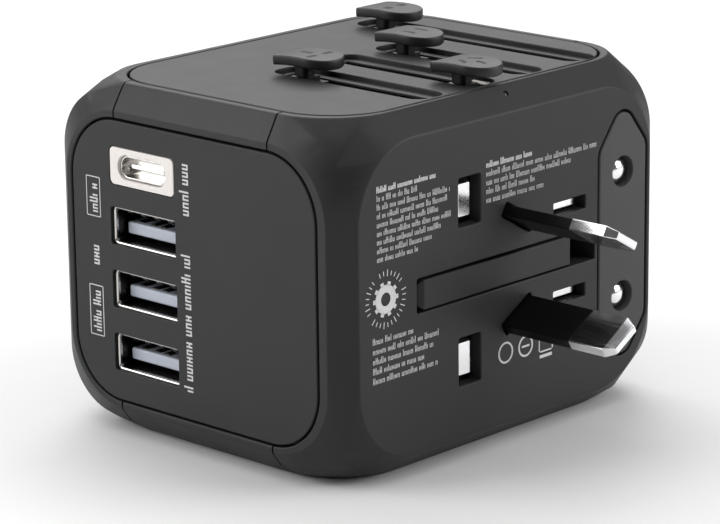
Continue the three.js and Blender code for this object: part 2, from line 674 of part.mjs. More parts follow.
function addFlatSet(prefix, lane, pin, options) {
  const group = plugSet(lane, options.slidOut);
  const root = CARRIER_FRONT + PIN_SEAT;
  const tilt = pin.tilt ?? 0;
  let seats = null;
  for (const { side, word } of PIN_NAMES) {
    const sleeveRear = CARRIER_FRONT - FIT_GAP;
    const sleeveFront = sleeveRear - options.sleeveLength;
    const hasSleeve = options.sleeveLength > 0;
    const solid = flatPin(pin.width, pin.thickness, pin.tip, root, options.bevel,
      hasSleeve ? sleeveFront - FIT_GAP : root);
    const mesh = addPart(`${prefix}_${word}_pin`, solid, nickel, group);
    mesh.position.z = side * pin.offset;
    mesh.rotation.y = side * tilt;
    if (hasSleeve) {
      const sleeve = addPart(`${prefix}_${word}_sleeve`,
        flatSleeve(pin.width, pin.thickness, sleeveFront, sleeveRear), sleevePlastic, group);
      sleeve.position.copy(mesh.position);
      sleeve.rotation.copy(mesh.rotation);
    }
    const seat = prism('y', rotatedRect(0, side * pin.offset, pin.width / 2 + FIT_GAP,
      pin.thickness / 2 + FIT_GAP, -side * tilt), CARRIER_FRONT - 1, root + FIT_GAP);
    seats = seats ? seats.add(seat) : seat;
  }
  addPart(`${prefix}_carrier`, armedCarrier(lane, options.halfX, options.inner, options.outer, seats),
    carrierPlastic, group);
  addKnob(`${prefix}_slider_knob`, lane, STEM_Y, group);
}

function addEuSet() {
  const group = plugSet(EU_LANE, false);
  const root = EU_CARRIER.front + PIN_SEAT;
  const sleeveRear = EU_CARRIER.front - FIT_GAP;
  const sleeveFront = EU_PIN.tip + 9;
  let seats = null;
  for (const { side, word } of PIN_NAMES) {
    const pin = addPart(`eu_${word}_pin`,
      roundPin(EU_PIN.radius, EU_PIN.tip, root, sleeveFront - FIT_GAP), nickel, group);
    pin.position.z = side * EU_PIN.offset;
    const sleeve = addPart(`eu_${word}_sleeve`,
      roundSleeve(EU_PIN.radius, sleeveFront, sleeveRear), sleevePlastic, group);
    sleeve.position.z = side * EU_PIN.offset;
    const seat = prism('y', circle(0, side * EU_PIN.offset, EU_PIN.radius),
      EU_CARRIER.front - 1, root + FIT_GAP);
    seats = seats ? seats.add(seat) : seat;
  }
  const beam = box(-EU_CARRIER.halfX, EU_CARRIER.halfX, EU_CARRIER.front, EU_CARRIER.rear,
    -EU_CARRIER.halfZ, EU_CARRIER.halfZ);
  const relief = box(-EU_CARRIER.halfX - 1, EU_CARRIER.halfX - 2, root + 1.5, EU_CARRIER.rear + 1,
    -EU_CARRIER.halfZ + 2, EU_CARRIER.halfZ - 3.5);
  const carrier = beam
    .subtract(relief)
    .add(carrierPost(EU_LANE, EU_STEM_Y, EU_CARRIER.halfZ - 1))
    .subtract(seats)
    .subtract(tangPocket(EU_LANE, EU_STEM_Y));
  addPart('eu_carrier', carrier, carrierPlastic, group);
  addKnob('eu_slider_knob', EU_LANE, EU_STEM_Y, group);

  const bores = joined([-1, 1].map((side) => prism('y',
    circle(0, side * EU_PIN.offset, EU_PIN.radius + PIN_CLEARANCE), -HALF_Y - 1, 0)));
  const hollow = prism('y', roundedRect(0, 0, 3.6, 5.2, 0.6, 2), -HALF_Y + 2.2, 0);
  const block = prism('y', euBlockOutline(0), -HALF_Y, -HALF_Y + EU_BLOCK.depth);
  addPart('eu_plug_block', block.subtract(bores).subtract(hollow), blockPlastic, group);
}

// ---------------------------------------------------------------- folding earth pin

function addEarthPin() {
  const chamfer = 0.9;
  const cornerCut = 0.7;
  const heelCut = 1.2;
  const side = outlineOf([
    [EARTH.tip, EARTH.face + chamfer],
    [EARTH.tip + chamfer, EARTH.face],
    [EARTH.heel - heelCut / 2, EARTH.face],
    [EARTH.heel, EARTH.face + heelCut / 2],
    [EARTH.heel, EARTH.back - heelCut],
    [EARTH.heel - heelCut, EARTH.back],
    [EARTH.tip + chamfer, EARTH.back],
    [EARTH.tip, EARTH.back - chamfer],
  ]);
  const face = outlineOf([
    [EARTH.tip, MID_Z - EARTH.halfZ + cornerCut],
    [EARTH.tip + chamfer, MID_Z - EARTH.halfZ],
    [EARTH.heel + 1, MID_Z - EARTH.halfZ],
    [EARTH.heel + 1, MID_Z + EARTH.halfZ],
    [EARTH.tip + chamfer, MID_Z + EARTH.halfZ],
    [EARTH.tip, MID_Z + EARTH.halfZ - cornerCut],
  ]);
  const bore = prism('z', circle(EARTH_HINGE.x, EARTH_HINGE.y, EARTH_HINGE.radius + FIT_GAP, 16), 0, 50);
  const pin = prism('z', side, MID_Z - EARTH.halfZ, MID_Z + EARTH.halfZ)
    .intersect(prism('y', face, EARTH.face - 1, EARTH.back + 1))
    .subtract(bore);
  addPart('uk_earth_pin', pin, casingPlastic);
  addPart('earth_pin_axle', prism('z', circle(EARTH_HINGE.x, EARTH_HINGE.y, EARTH_HINGE.radius, 16),
    MID_Z - 4.7, MID_Z + 4.7), nickel);
}

// ---------------------------------------------------------------- socket inside

// Heights on one side of the middle, lowest first.
function heights(side, near, far) {
  return [MID_Z + Math.min(side * near, side * far), MID_Z + Math.max(side * near, side * far)];
}

function addSocket() {
  const { left, right, front, rear, halfZ } = BLOCK;
  const [earthHalfX, earthHalfZ] = SOCKET_EARTH;
  const earthWell = box(SOCKET_EARTH_X - earthHalfX, SOCKET_EARTH_X + earthHalfX, front - 1, rear + 1,
    MID_Z - earthHalfZ, MID_Z + earthHalfZ);
  let block = box(left, right, front, rear, MID_Z - halfZ, MID_Z + halfZ).subtract(earthWell);
  for (const { side, word } of PIN_NAMES) {
    const emptyCorner = box(left + 2, 4.5, front - 1, rear - 2, ...heights(side, 5, halfZ - 0.5));
    const well = box(SOCKET_X - WELL.halfX, SOCKET_X + WELL.halfX, WELL.floor, rear + 1,
      ...heights(side, WELL.inner, WELL.outer));
    const tailHole = box(SOCKET_X - 1.2, SOCKET_X + 1.2, front - 1, WELL.floor + 1,
      ...heights(side, 9.2, 12));
    block = block.subtract(emptyCorner).subtract(well).subtract(tailHole);
    addPart(`${word}_contact`, contactSolid(side), brass);
    addPart(`${word}_bus_bar`, busBarSolid(side), brass);
    addPart(`eu_${word}_rail`, euRailSolid(side), brass);
  }
  addPart('socket_block', block, carrierPlastic);
}

// Two spring leaves on a web, with a tail that goes through the floor of the well.
function contactSolid(side) {
  const { inner, outer, leafRear, tailHalf } = CONTACT;
  const floor = WELL.floor + SPLIT_GAP;
  const across = heights(side, 5.4, 14.6);
  return joined([
    box(SOCKET_X - outer, SOCKET_X - inner, floor, leafRear, ...across),
    box(SOCKET_X + inner, SOCKET_X + outer, floor, leafRear, ...across),
    box(SOCKET_X - outer, SOCKET_X + outer, floor, floor + SHEET, ...across),
    box(SOCKET_X - tailHalf, SOCKET_X + tailHalf, BLOCK.front - 0.4, floor + SHEET / 2,
      ...heights(side, 9.5, 11.7)),
  ]);
}

// A cross bar behind the carriers with a finger along each lane of flat pins.
function busBarSolid(side) {
  const { left, right, front, edge, fingerFront } = BUS_BAR;
  const crossBar = box(left, right, front, front + SHEET, ...heights(side, 9, edge));
  const fingers = [UK_LANE, AUS_LANE, US_LANE].map((lane) => box(lane.pins + 1, lane.pins + 3.4,
    fingerFront, front + SHEET / 2, ...heights(side, edge - SHEET, edge)));
  return joined([crossBar, ...fingers]);
}

// A rail beside the European lane, linked to the socket block.
function euRailSolid(side) {
  const { left, right, front, rear } = EU_RAIL;
  const finger = box(left, right, front, rear, ...heights(side, 13.7, 15.5));
  const link = box(BLOCK.right + 0.4, right, rear - SHEET, rear, ...heights(side, 11.5, 15.5));
  return finger.add(link);
}

// ---------------------------------------------------------------- USB charger

function addUsbCharger() {
  addUsbAPorts();
  addUsbCPort();
  addBoard();
}

function addUsbAPorts() {
  const { halfY, halfZ, wall, front, rear } = USB_A;
  const tongue = USB_A_TONGUE;
  USB_A.levels.forEach((level, index) => {
    const shell = box(front, rear, PORT_Y - halfY, PORT_Y + halfY, level - halfZ, level + halfZ);
    const inside = box(front - 1, rear - wall, PORT_Y - halfY + wall, PORT_Y + halfY - wall,
      level - halfZ + wall, level + halfZ - wall);
    addPart(`usb_a_shell_${index + 1}`, shell.subtract(inside), nickel);
    addPart(`usb_a_tongue_${index + 1}`, box(tongue.front, rear - wall - FIT_GAP,
      PORT_Y - tongue.halfY, PORT_Y + tongue.halfY, level + tongue.bottom, level + tongue.top),
    tonguePlastic);
  });
}

// The small port: a cream bezel that fills its hole in the panel, a steel shell and a tongue.
function addUsbCPort() {
  const { halfY, halfZ, level, slot, depth, rear } = USB_C;
  const wall = 0.3;
  const slotOutline = (grow) => roundedRect(PORT_Y, level, slot[0] + grow, slot[1] + grow,
    slot[1] + grow - 0.05, 5);
  const bezel = prism('x', roundedRect(PORT_Y, level, halfY - 0.05, halfZ - 0.05, 0.8, 3),
    -HALF_X, -HALF_X + depth).subtract(prism('x', slotOutline(FIT_GAP), -HALF_X - 1, -HALF_X + 3));
  addPart('usb_c_bezel', bezel, creamPlastic);
  const shell = prism('x', slotOutline(0), -HALF_X + 0.4, rear)
    .subtract(prism('x', slotOutline(-wall), -HALF_X, rear - wall - FIT_GAP));
  addPart('usb_c_shell', shell, nickel);
  const tongue = USB_C_TONGUE;
  addPart('usb_c_tongue', box(tongue.front, rear - wall - 2 * FIT_GAP,
    PORT_Y - tongue.halfY, PORT_Y + tongue.halfY, level - tongue.halfZ, level + tongue.halfZ), nickel);
}

function addBoard() {
  const can = ({ x, y, radius, z }) => prism('z', circle(x, y, radius), ...z);
  addPart('usb_board', box(BOARD.front, BOARD.rear, ...BOARD.y, ...BOARD.z), boardGreen);
  const { left, y, z, rim, wall, legHalf } = TRANSFORMER;
  const middleY = (y[0] + y[1]) / 2;
  const core = box(left, BOARD.front - SPLIT_GAP, ...y, ...z);
  const windings = joined([[y[0] - 1, middleY - legHalf], [middleY + legHalf, y[1] + 1]].map(
    (range) => box(left + wall, BOARD.front - SPLIT_GAP - wall, ...range, z[0] + rim, z[1] - rim)));
  addPart('transformer', core.subtract(windings), ferrite);
  addPart('input_capacitor', can(INPUT_CAPACITOR), canBlue);
  addPart('output_capacitor', can(OUTPUT_CAPACITOR), canBlue);
  addPart('resettable_fuse', can(FUSE), ferrite);
}

// ---------------------------------------------------------------- casing screws

function addScrews() {
  const headThickness = 1.3;
  const crossDepth = 0.7;
  const crossHalf = [1.3, 0.3];
  const headFront = HEAD_SEAT_Y + FIT_GAP;
  const headRear = headFront + headThickness;
  SCREWS.forEach(([x, height], index) => {
    const z = MID_Z + height;
    const head = prism('y', circle(x, z, HEAD_RADIUS, 16), headFront, headRear);
    const shank = prism('y', circle(x, z, SCREW_RADIUS, 12), SCREW_TIP_Y, headFront + 0.4);
    const cross = [0, Math.PI / 2].map((turn) => prism('y',
      rotatedRect(x, z, ...crossHalf, turn), headRear - crossDepth, headRear + 1));
    addPart(`case_screw_${index + 1}`, head.add(shank).subtract(joined(cross)), nickel);
  });
}

// ---------------------------------------------------------------- the adapter

addCasing();
addSliderPanel();
addSidePanels();
addEarthPin();
addFlatSet('uk', UK_LANE, UK_PIN,
  { slidOut: false, halfX: 4, inner: 6.9, outer: 15.3, bevel: 1.6, sleeveLength: 9 });
addFlatSet('us', US_LANE, US_PIN,
  { slidOut: false, halfX: 4, inner: 5.3, outer: 10.5, bevel: 1.4, sleeveLength: 0 });
addFlatSet('aus', AUS_LANE, AUS_PIN,
  { slidOut: true, halfX: 3.9, inner: 3.9, outer: 11, bevel: 1.6, sleeveLength: 14 });
addEuSet();
addSocket();
addUsbCharger();
addScrews();

export default part;
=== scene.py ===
# Looks of a universal travel adapter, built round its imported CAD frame.
#
# Metres, in the frame's own axes: the plug pins come out towards -Y, the socket faces +Y, the USB
# ports face -X and the slider knobs are on top. Sizes below are in millimetres times MM.

import json
import math
import random

import bmesh
import bpy
from mathutils import Matrix, Vector


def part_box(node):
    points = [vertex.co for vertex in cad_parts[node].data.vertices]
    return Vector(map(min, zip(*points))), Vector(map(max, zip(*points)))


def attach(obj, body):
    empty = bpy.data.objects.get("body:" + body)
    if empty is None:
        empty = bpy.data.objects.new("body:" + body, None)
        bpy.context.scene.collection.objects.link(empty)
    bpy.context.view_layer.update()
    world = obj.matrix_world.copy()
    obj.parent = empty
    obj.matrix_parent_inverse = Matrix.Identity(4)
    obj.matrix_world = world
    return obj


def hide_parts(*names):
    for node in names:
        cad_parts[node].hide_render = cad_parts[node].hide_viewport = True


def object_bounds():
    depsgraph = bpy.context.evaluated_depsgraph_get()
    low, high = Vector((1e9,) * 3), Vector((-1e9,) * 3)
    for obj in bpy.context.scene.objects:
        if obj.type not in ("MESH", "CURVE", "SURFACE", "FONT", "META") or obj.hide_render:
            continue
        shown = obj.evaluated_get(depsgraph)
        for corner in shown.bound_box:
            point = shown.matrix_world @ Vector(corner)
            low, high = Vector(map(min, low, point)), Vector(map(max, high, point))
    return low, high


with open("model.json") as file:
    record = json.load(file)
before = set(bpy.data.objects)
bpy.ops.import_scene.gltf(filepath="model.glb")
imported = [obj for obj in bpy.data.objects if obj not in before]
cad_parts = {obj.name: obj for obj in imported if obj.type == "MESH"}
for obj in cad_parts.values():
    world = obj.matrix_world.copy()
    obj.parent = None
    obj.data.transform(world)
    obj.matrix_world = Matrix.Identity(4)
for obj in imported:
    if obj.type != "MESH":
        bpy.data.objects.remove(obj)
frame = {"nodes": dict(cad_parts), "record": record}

cad_low, cad_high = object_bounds()
MM = 0.001

# ---------------------------------------------------------------- sizes taken from the frame

NODES = frame["nodes"]
BODY_OF = {node: body for body, nodes in frame["record"]["behaviour"]["bodies"].items() for node in nodes}
SLOT_OF = {row["node"]: row["material_slot"] for row in frame["record"]["subparts"]}

CASING_NODES = ("pin_side_shell", "middle_frame", "socket_side_shell")
CASING_LOW = Vector([min(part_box(node)[0][i] for node in CASING_NODES) for i in range(3)])
CASING_HIGH = Vector([max(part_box(node)[1][i] for node in CASING_NODES) for i in range(3)])
CASING_MID = (CASING_LOW + CASING_HIGH) / 2
CASING_HALF = (CASING_HIGH - CASING_LOW) / 2
PIN_FACE_Y = CASING_LOW.y
USB_FACE_X = CASING_LOW.x
TOP_Z = CASING_HIGH.z


def centre(node):
    low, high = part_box(node)
    return (low + high) / 2


def half_size(node):
    low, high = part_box(node)
    return (high - low) / 2


# ---------------------------------------------------------------- mesh helpers

ARC_STEP = math.radians(5)
EDGE_STEPS = 3


def rounded(core, radius, step=ARC_STEP):
    """Points and outward directions of a convex core polygon, anticlockwise, grown by a radius."""
    points = []
    count = len(core)
    if count == 1:
        turns = max(8, round(2 * math.pi / step))
        for k in range(turns):
            angle = 2 * math.pi * k / turns
            out = Vector((math.cos(angle), math.sin(angle)))
            points.append((Vector(core[0]) + radius * out, out))
        return points
    for i in range(count):
        here = Vector(core[i])
        before = here - Vector(core[i - 1])
        after = Vector(core[(i + 1) % count]) - here
        start = math.atan2(-before.x, before.y)
        end = math.atan2(-after.x, after.y)
        while end < start:
            end += 2 * math.pi
        turns = max(1, round((end - start) / step))
        for k in range(turns + 1):
            angle = start + (end - start) * k / turns
            out = Vector((math.cos(angle), math.sin(angle)))
            points.append((here + radius * out, out))
    return points


def rectangle(cu, cv, half_u, half_v, radius=0.0, turn=0.0):
    """The core polygon of a rectangle that is to be rounded by that radius."""
    u, v = half_u - radius, half_v - radius
    spin = Matrix.Rotation(turn, 2)
    return [tuple(spin @ Vector((su * u, sv * v)) + Vector((cu, cv)))
            for su, sv in ((1, 1), (-1, 1), (-1, -1), (1, -1))]


def on_axis(axis, u, v, level):
    """A point from its place in a plane across the axis: (x, y) for z, (x, z) for y, (y, z) for x."""
    return {"x": Vector((level, u, v)), "y": Vector((u, level, v)), "z": Vector((u, v, level))}[axis]


def loft(loops):
    """A closed mesh through loops of equally many points, capped at both ends."""
    mesh = bmesh.new()
    rows = [[mesh.verts.new(point) for point in loop] for loop in loops]
    for low, high in zip(rows, rows[1:]):
        for i in range(len(low)):
            j = (i + 1) % len(low)
            mesh.faces.new((low[i], low[j], high[j], high[i]))
    mesh.faces.new(list(reversed(rows[0])))
    mesh.faces.new(rows[-1])
    bmesh.ops.recalc_face_normals(mesh, faces=mesh.faces)
    return mesh


def slab(axis, core, radius, start, end, edge_start=0.0, edge_end=0.0, step=ARC_STEP):
    """A rounded outline swept along an axis. A positive edge rounds that end over, and a negative
    one flares it outwards, so that a cut made with it has a rounded rim."""
    way = 1 if end > start else -1
    rows = []
    for level, edge, inwards in ((start, edge_start, way), (end, edge_end, -way)):
        side = []
        size = abs(edge)
        if edge > 0:
            for k in range(EDGE_STEPS + 1):
                angle = math.pi / 2 * k / EDGE_STEPS
                side.append((level + inwards * size * (1 - math.cos(angle)), -size * (1 - math.sin(angle))))
        elif edge < 0:
            side.append((level - inwards * size, size))
            for k in range(EDGE_STEPS + 1):
                angle = math.pi / 2 * (1 - k / EDGE_STEPS)
                side.append((level + inwards * size * (1 - math.sin(angle)), size * (1 - math.cos(angle))))
        else:
            side.append((level, 0.0))
        rows.append(side)
    profile = rows[0] + list(reversed(rows[1]))
    return loft([[on_axis(axis, p.x + grow * out.x, p.y + grow * out.y, level)
                  for p, out in rounded(core, radius, step)] for level, grow in profile])


def add_object(name, mesh):
    data = bpy.data.meshes.new(name)
    mesh.to_mesh(data)
    mesh.free()
    made = bpy.data.objects.new(name, data)
    bpy.context.scene.collection.objects.link(made)
    return made


def joined(meshes):
    """One bmesh out of several that don't touch."""
    whole = bmesh.new()
    for mesh in meshes:
        data = bpy.data.meshes.new("part")
        mesh.to_mesh(data)
        mesh.free()
        whole.from_mesh(data)
        bpy.data.meshes.remove(data)
    return whole


def carve(target, cutter, operation="DIFFERENCE"):
    """Cuts, joins or intersects an object with a bmesh."""
    tool = add_object("cutter", cutter)
    change = target.modifiers.new("carve", "BOOLEAN")
    change.object = tool
    change.operation = operation
    change.solver = "EXACT"
    graph = bpy.context.evaluated_depsgraph_get()
    result = bpy.data.meshes.new_from_object(target.evaluated_get(graph))
    target.modifiers.clear()
    old = target.data
    target.data = result
    bpy.data.meshes.remove(old)
    bpy.data.objects.remove(tool)
    return target


def copy_of(node, name):
    """A new object with a CAD node's shape, its split vertices joined and its flat faces whole."""
    mesh = bmesh.new()
    mesh.from_mesh(NODES[node].data)
    bmesh.ops.remove_doubles(mesh, verts=mesh.verts, dist=1e-7)
    flat = math.radians(0.1)
    bmesh.ops.dissolve_limit(mesh, angle_limit=flat, verts=mesh.verts, edges=mesh.edges)
    return add_object(name, mesh)


SMOOTH_BELOW = math.radians(32)


def dress(piece, material, *nodes, body=None, slot=None):
    """Shades a piece, gives it its material and body, and hides the CAD nodes it stands for."""
    data = piece.data
    data.materials.clear()
    data.materials.append(material)
    for polygon in data.polygons:
        polygon.use_smooth = True
        polygon.material_index = 0
    data.set_sharp_from_angle(angle=SMOOTH_BELOW)
    weighted = piece.modifiers.new("weighted_normals", "WEIGHTED_NORMAL")
    weighted.keep_sharp = True
    weighted.weight = 50
    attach(piece, body or BODY_OF[nodes[0]])
    if nodes:
        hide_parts(*nodes)
    return piece


# ---------------------------------------------------------------- materials


def new_material(name):
    material = bpy.data.materials.new(name)
    material.use_nodes = True
    tree = material.node_tree
    return material, tree, tree.nodes["Principled BSDF"]


def noise(tree, scale, detail=2.0, stretch=(1.0, 1.0, 1.0)):
    """Noise in object space; the scale is in features per metre."""
    place = tree.nodes.new("ShaderNodeTexCoord")
    mapping = tree.nodes.new("ShaderNodeMapping")
    mapping.inputs["Scale"].default_value = stretch
    texture = tree.nodes.new("ShaderNodeTexNoise")
    texture.inputs["Scale"].default_value = scale
    texture.inputs["Detail"].default_value = detail
    tree.links.new(place.outputs["Object"], mapping.inputs["Vector"])
    tree.links.new(mapping.outputs["Vector"], texture.inputs["Vector"])
    return texture.outputs["Fac"]


def ramp(tree, value, low, high, out_low, out_high):
    """Maps a value from one range to another, clamped."""
    change = tree.nodes.new("ShaderNodeMapRange")
    change.inputs["From Min"].default_value = low
    change.inputs["From Max"].default_value = high
    change.inputs["To Min"].default_value = out_low
    change.inputs["To Max"].default_value = out_high
    tree.links.new(value, change.inputs["Value"])
    return change.outputs["Result"]


def blend_colours(tree, factor, first, second):
    mix = tree.nodes.new("ShaderNodeMix")
    mix.data_type = "RGBA"
    mix.inputs["A"].default_value = (*first, 1)
    mix.inputs["B"].default_value = (*second, 1)
    tree.links.new(factor, mix.inputs["Factor"])
    return mix.outputs["Result"]


def shade(colour, factor):
    return tuple(min(1.0, channel * factor) for channel in colour)


def bumps(tree, shader, height, strength, distance, under=None):
    bump = tree.nodes.new("ShaderNodeBump")
    bump.inputs["Strength"].default_value = strength
    bump.inputs["Distance"].default_value = distance
    tree.links.new(height, bump.inputs["Height"])
    if under is not None:
        tree.links.new(under, bump.inputs["Normal"])
    tree.links.new(bump.outputs["Normal"], shader.inputs["Normal"])
    return bump.outputs["Normal"]


def painted_edge_highlight(tree, radius):
    """The mask of a painted edge highlight: 1 where the surface bends sharply and 0 on flats, broken up by
    noise.
    """
    bevel = tree.nodes.new("ShaderNodeBevel")
    bevel.samples = 4
    bevel.inputs["Radius"].default_value = radius
    surface = tree.nodes.new("ShaderNodeNewGeometry")
    match = tree.nodes.new("ShaderNodeVectorMath")
    match.operation = "DOT_PRODUCT"
    tree.links.new(bevel.outputs["Normal"], match.inputs[0])
    tree.links.new(surface.outputs["Normal"], match.inputs[1])
    edge = ramp(tree, match.outputs["Value"], 0.97, 0.80, 0.0, 1.0)
    broken = tree.nodes.new("ShaderNodeMath")
    broken.operation = "MULTIPLY"
    tree.links.new(edge, broken.inputs[0])
    tree.links.new(ramp(tree, noise(tree, 900, 3), 0.35, 0.65, 0.2, 1.0), broken.inputs[1])
    return broken.outputs["Value"]


def plastic(name, colour, roughness, grain=0.2, variation=0.1, specular=0.5, edge_highlight=0.0):
    """Moulded plastic with a spark-eroded grain, faint flow mottling and edges painted paler as a highlight.
    """
    material, tree, shader = new_material(name)
    mottle = noise(tree, 60, 3)
    tone = ramp(tree, mottle, 0.3, 0.7, 0.0, 1.0)
    tint = blend_colours(tree, tone, shade(colour, 1 - variation), shade(colour, 1 + variation))
    # Paler edges from the bevel mask: a painted highlight along sharp bends, broken up by noise.
    if edge_highlight:
        mix = tree.nodes.new("ShaderNodeMix")
        mix.data_type = "RGBA"
        mix.inputs["B"].default_value = (*shade(colour, 1 + edge_highlight), 1)
        tree.links.new(painted_edge_highlight(tree, 0.25 * MM), mix.inputs["Factor"])
        tree.links.new(tint, mix.inputs["A"])
        tint = mix.outputs["Result"]
    tree.links.new(tint, shader.inputs["Base Color"])
    handling = noise(tree, 220, 4)
    gloss = ramp(tree, handling, 0.3, 0.75, roughness - 0.015, roughness + 0.02)
    tree.links.new(gloss, shader.inputs["Roughness"])
    shader.inputs["Specular IOR Level"].default_value = specular
    coarse = bumps(tree, shader, noise(tree, 2600, 2), grain, 0.02 * MM)
    bumps(tree, shader, noise(tree, 7000, 1), grain, 0.008 * MM, coarse)
    return material


def metal(name, colour, roughness, streak=(40.0, 1.0, 40.0), variation=0.05):
    """Bright metal with fine drawn lines and faint stains."""
    material, tree, shader = new_material(name)
    shader.inputs["Metallic"].default_value = 1.0
    stain = ramp(tree, noise(tree, 350, 3), 0.35, 0.7, 0.0, 1.0)
    tint = blend_colours(tree, stain, shade(colour, 1 + variation), shade(colour, 1 - variation))
    tree.links.new(tint, shader.inputs["Base Color"])
    lines = noise(tree, 120, 3, streak)
    gloss = ramp(tree, lines, 0.3, 0.7, roughness - 0.05, roughness + 0.07)
    tree.links.new(gloss, shader.inputs["Roughness"])
    bumps(tree, shader, lines, 0.15, 0.004 * MM)
    return material


def clear_lens(name, colour):
    material, tree, shader = new_material(name)
    tone = ramp(tree, noise(tree, 900, 2), 0.3, 0.7, 0.0, 1.0)
    tree.links.new(blend_colours(tree, tone, shade(colour, 0.9), colour), shader.inputs["Base Color"])
    shader.inputs["Roughness"].default_value = 0.12
    shader.inputs["Transmission Weight"].default_value = 0.4
    shader.inputs["IOR"].default_value = 1.49
    return material


MATERIALS = {
    # The casing, panel and knob plastics get a painted highlight along their edges.
    "casing": plastic("casing_plastic", (0.02, 0.0203, 0.0208), 0.5, variation=0.06, specular=0.3, edge_highlight=0.5),
    "panel": plastic("panel_plastic", (0.0215, 0.0218, 0.0223), 0.50, variation=0.06, specular=0.3, edge_highlight=0.5),
    "plug_block": plastic("block_plastic", (0.046, 0.0465, 0.0475), 0.5, variation=0.06, specular=0.35),
    "knob": plastic("knob_plastic", (0.016, 0.0162, 0.0166), 0.44, variation=0.06, specular=0.35, edge_highlight=0.6),
    "inner_plastic": plastic("inner_plastic", (0.010, 0.010, 0.0105), 0.6, specular=0.25),
    "sleeve": plastic("sleeve_plastic", (0.004, 0.004, 0.0042), 0.38, grain=0.15, specular=0.25),
    "pin_metal": metal("pin_nickel", (0.86, 0.86, 0.87), 0.16),
    "screw_steel": metal("screw_zinc", (0.62, 0.62, 0.64), 0.32),
    "contact_brass": metal("contact_brass", (0.78, 0.6, 0.3), 0.28),
    "port_shell": metal("port_nickel", (0.62, 0.60, 0.57), 0.22, streak=(1.0, 30.0, 30.0)),
    # Port shell metal painted near-black: painted shade inside the USB ports.
    "port_painted_shade": metal("port_painted_shade", (0.07, 0.065, 0.06), 0.3, streak=(1.0, 30.0, 30.0)),
    "port_tongue": plastic("tongue_plastic", (0.50, 0.54, 0.62), 0.4, grain=0.1, variation=0.04),
    "cream_insert": plastic("cream_plastic", (0.84, 0.79, 0.755), 0.42, grain=0.12, variation=0.03),
    "board": plastic("board_laminate", (0.03, 0.12, 0.06), 0.45, grain=0.2),
    "ferrite": plastic("ferrite_block", (0.05, 0.045, 0.04), 0.6),
    "capacitor_can": plastic("capacitor_sleeve", (0.04, 0.08, 0.2), 0.3, grain=0.08),
    "light_lens": clear_lens("light_lens", (0.05, 0.05, 0.05)),
    "white_ink": plastic("white_ink", (0.62, 0.62, 0.62), 0.55, grain=0.1, variation=0.06),
    "dark_ink": plastic("dark_ink", (0.004, 0.004, 0.004), 0.7, grain=0.1, variation=0.06),
}

for node, part in NODES.items():
    part.data.materials.clear()
    part.data.materials.append(MATERIALS[SLOT_OF[node]])
    for polygon in part.data.polygons:
        polygon.material_index = 0

# ---------------------------------------------------------------- casing

# The flat part of each face: axis, side, its two ranges and its corner radius. Heights are from
# the casing's middle. The crown is the section just inside the top and bottom faces, and the brow
# the one just inside the two side faces.
FACES = (
    ("y", -1, (-30.4, 30.4), (-22.0, 22.0), 11.0),
    ("y", 1, (-29.0, 29.0), (-21.8, 21.8), 10.0),
    ("x", -1, (-25.5, 24.9), (-21.5, 21.65), 10.4),
    ("x", 1, (-25.5, 24.9), (-21.5, 21.65), 10.4),
    ("z", 1, (-31.0, 31.0), (-25.45, 22.6), 10.0),
    ("z", -1, (-29.6, 29.6), (-24.7, 22.6), 10.0),
)
CROWN = ((-31.4, 31.4), (-26.3, 24.4), 8.6)
CROWN_DEPTH = 1.5 * MM
BROW = ((-27.6, 26.9), (-23.25, 23.4), 9.0)
BROW_DEPTH = 1.7 * MM
ROLL = 0.6 * MM
ROLL_TURN = math.radians(60)
ROLL_STEPS = 5
SKIN = 0.02 * MM
INSCRIBED = math.cos(math.radians(7.5))
CORNER_STEP = math.radians(3)


def range_core(range_u, range_v, radius):
    """The core polygon of a rounded rectangle given in millimetres by its ranges."""
    low_u, high_u = (value * MM for value in range_u)
    low_v, high_v = (value * MM for value in range_v)
    return rectangle((low_u + high_u) / 2, (low_v + high_v) / 2,
                     (high_u - low_u) / 2, (high_v - low_v) / 2, radius * MM)


def casing_hull():
    """The casing's outside, with every face rolled over at its edge."""
    mesh = bmesh.new()
    index_of = {"x": 0, "y": 1, "z": 2}
    for axis, side, range_u, range_v, radius in FACES:
        index = index_of[axis]
        plane = CASING_MID[index] + side * CASING_HALF[index]
        lift = 0.0 if axis == "z" else CASING_MID.z
        for point, out in rounded(range_core(range_u, range_v, radius), radius * MM * INSCRIBED, CORNER_STEP):
            for k in range(ROLL_STEPS + 1):
                angle = ROLL_TURN * k / ROLL_STEPS
                grow = ROLL * (math.sin(angle) - math.tan(ROLL_TURN / 2))
                level = plane - side * (ROLL * (1 - math.cos(angle)) + SKIN)
                mesh.verts.new(on_axis(axis, point.x + grow * out.x, point.y + grow * out.y + lift, level))
    for side in (-1, 1):
        level = CASING_MID.z + side * (CASING_HALF.z - CROWN_DEPTH)
        core = range_core(*CROWN)
        for point, _ in rounded(core, CROWN[2] * MM * INSCRIBED, CORNER_STEP):
            mesh.verts.new(on_axis("z", point.x, point.y, level))
        level = CASING_MID.x + side * (CASING_HALF.x - BROW_DEPTH)
        core = range_core(*BROW)
        for point, _ in rounded(core, BROW[2] * MM * INSCRIBED, CORNER_STEP):
            mesh.verts.new(on_axis("x", point.x, point.y + CASING_MID.z, level))
    result = bmesh.ops.convex_hull(mesh, input=mesh.verts)
    inside = [item for item in result["geom_interior"] if isinstance(item, bmesh.types.BMVert)]
    bmesh.ops.delete(mesh, geom=inside, context="VERTS")
    flat = math.radians(0.05)
    bmesh.ops.dissolve_limit(mesh, angle_limit=flat, verts=mesh.verts, edges=mesh.edges)
    return mesh


PIN_GAP = 0.23 * MM
RIM = 0.22 * MM
CUT_BEYOND = 1.0 * MM
AUS_HALF = (3.175 * MM, 0.8 * MM)
AUS_TILT = math.radians(30)
TROUGH_LOW = Vector((-18.93, 0, -2.38)) * MM
TROUGH_HIGH = Vector((17.98, 0, 2.38)) * MM
WORDS = ((1, "live"), (-1, "neutral"))


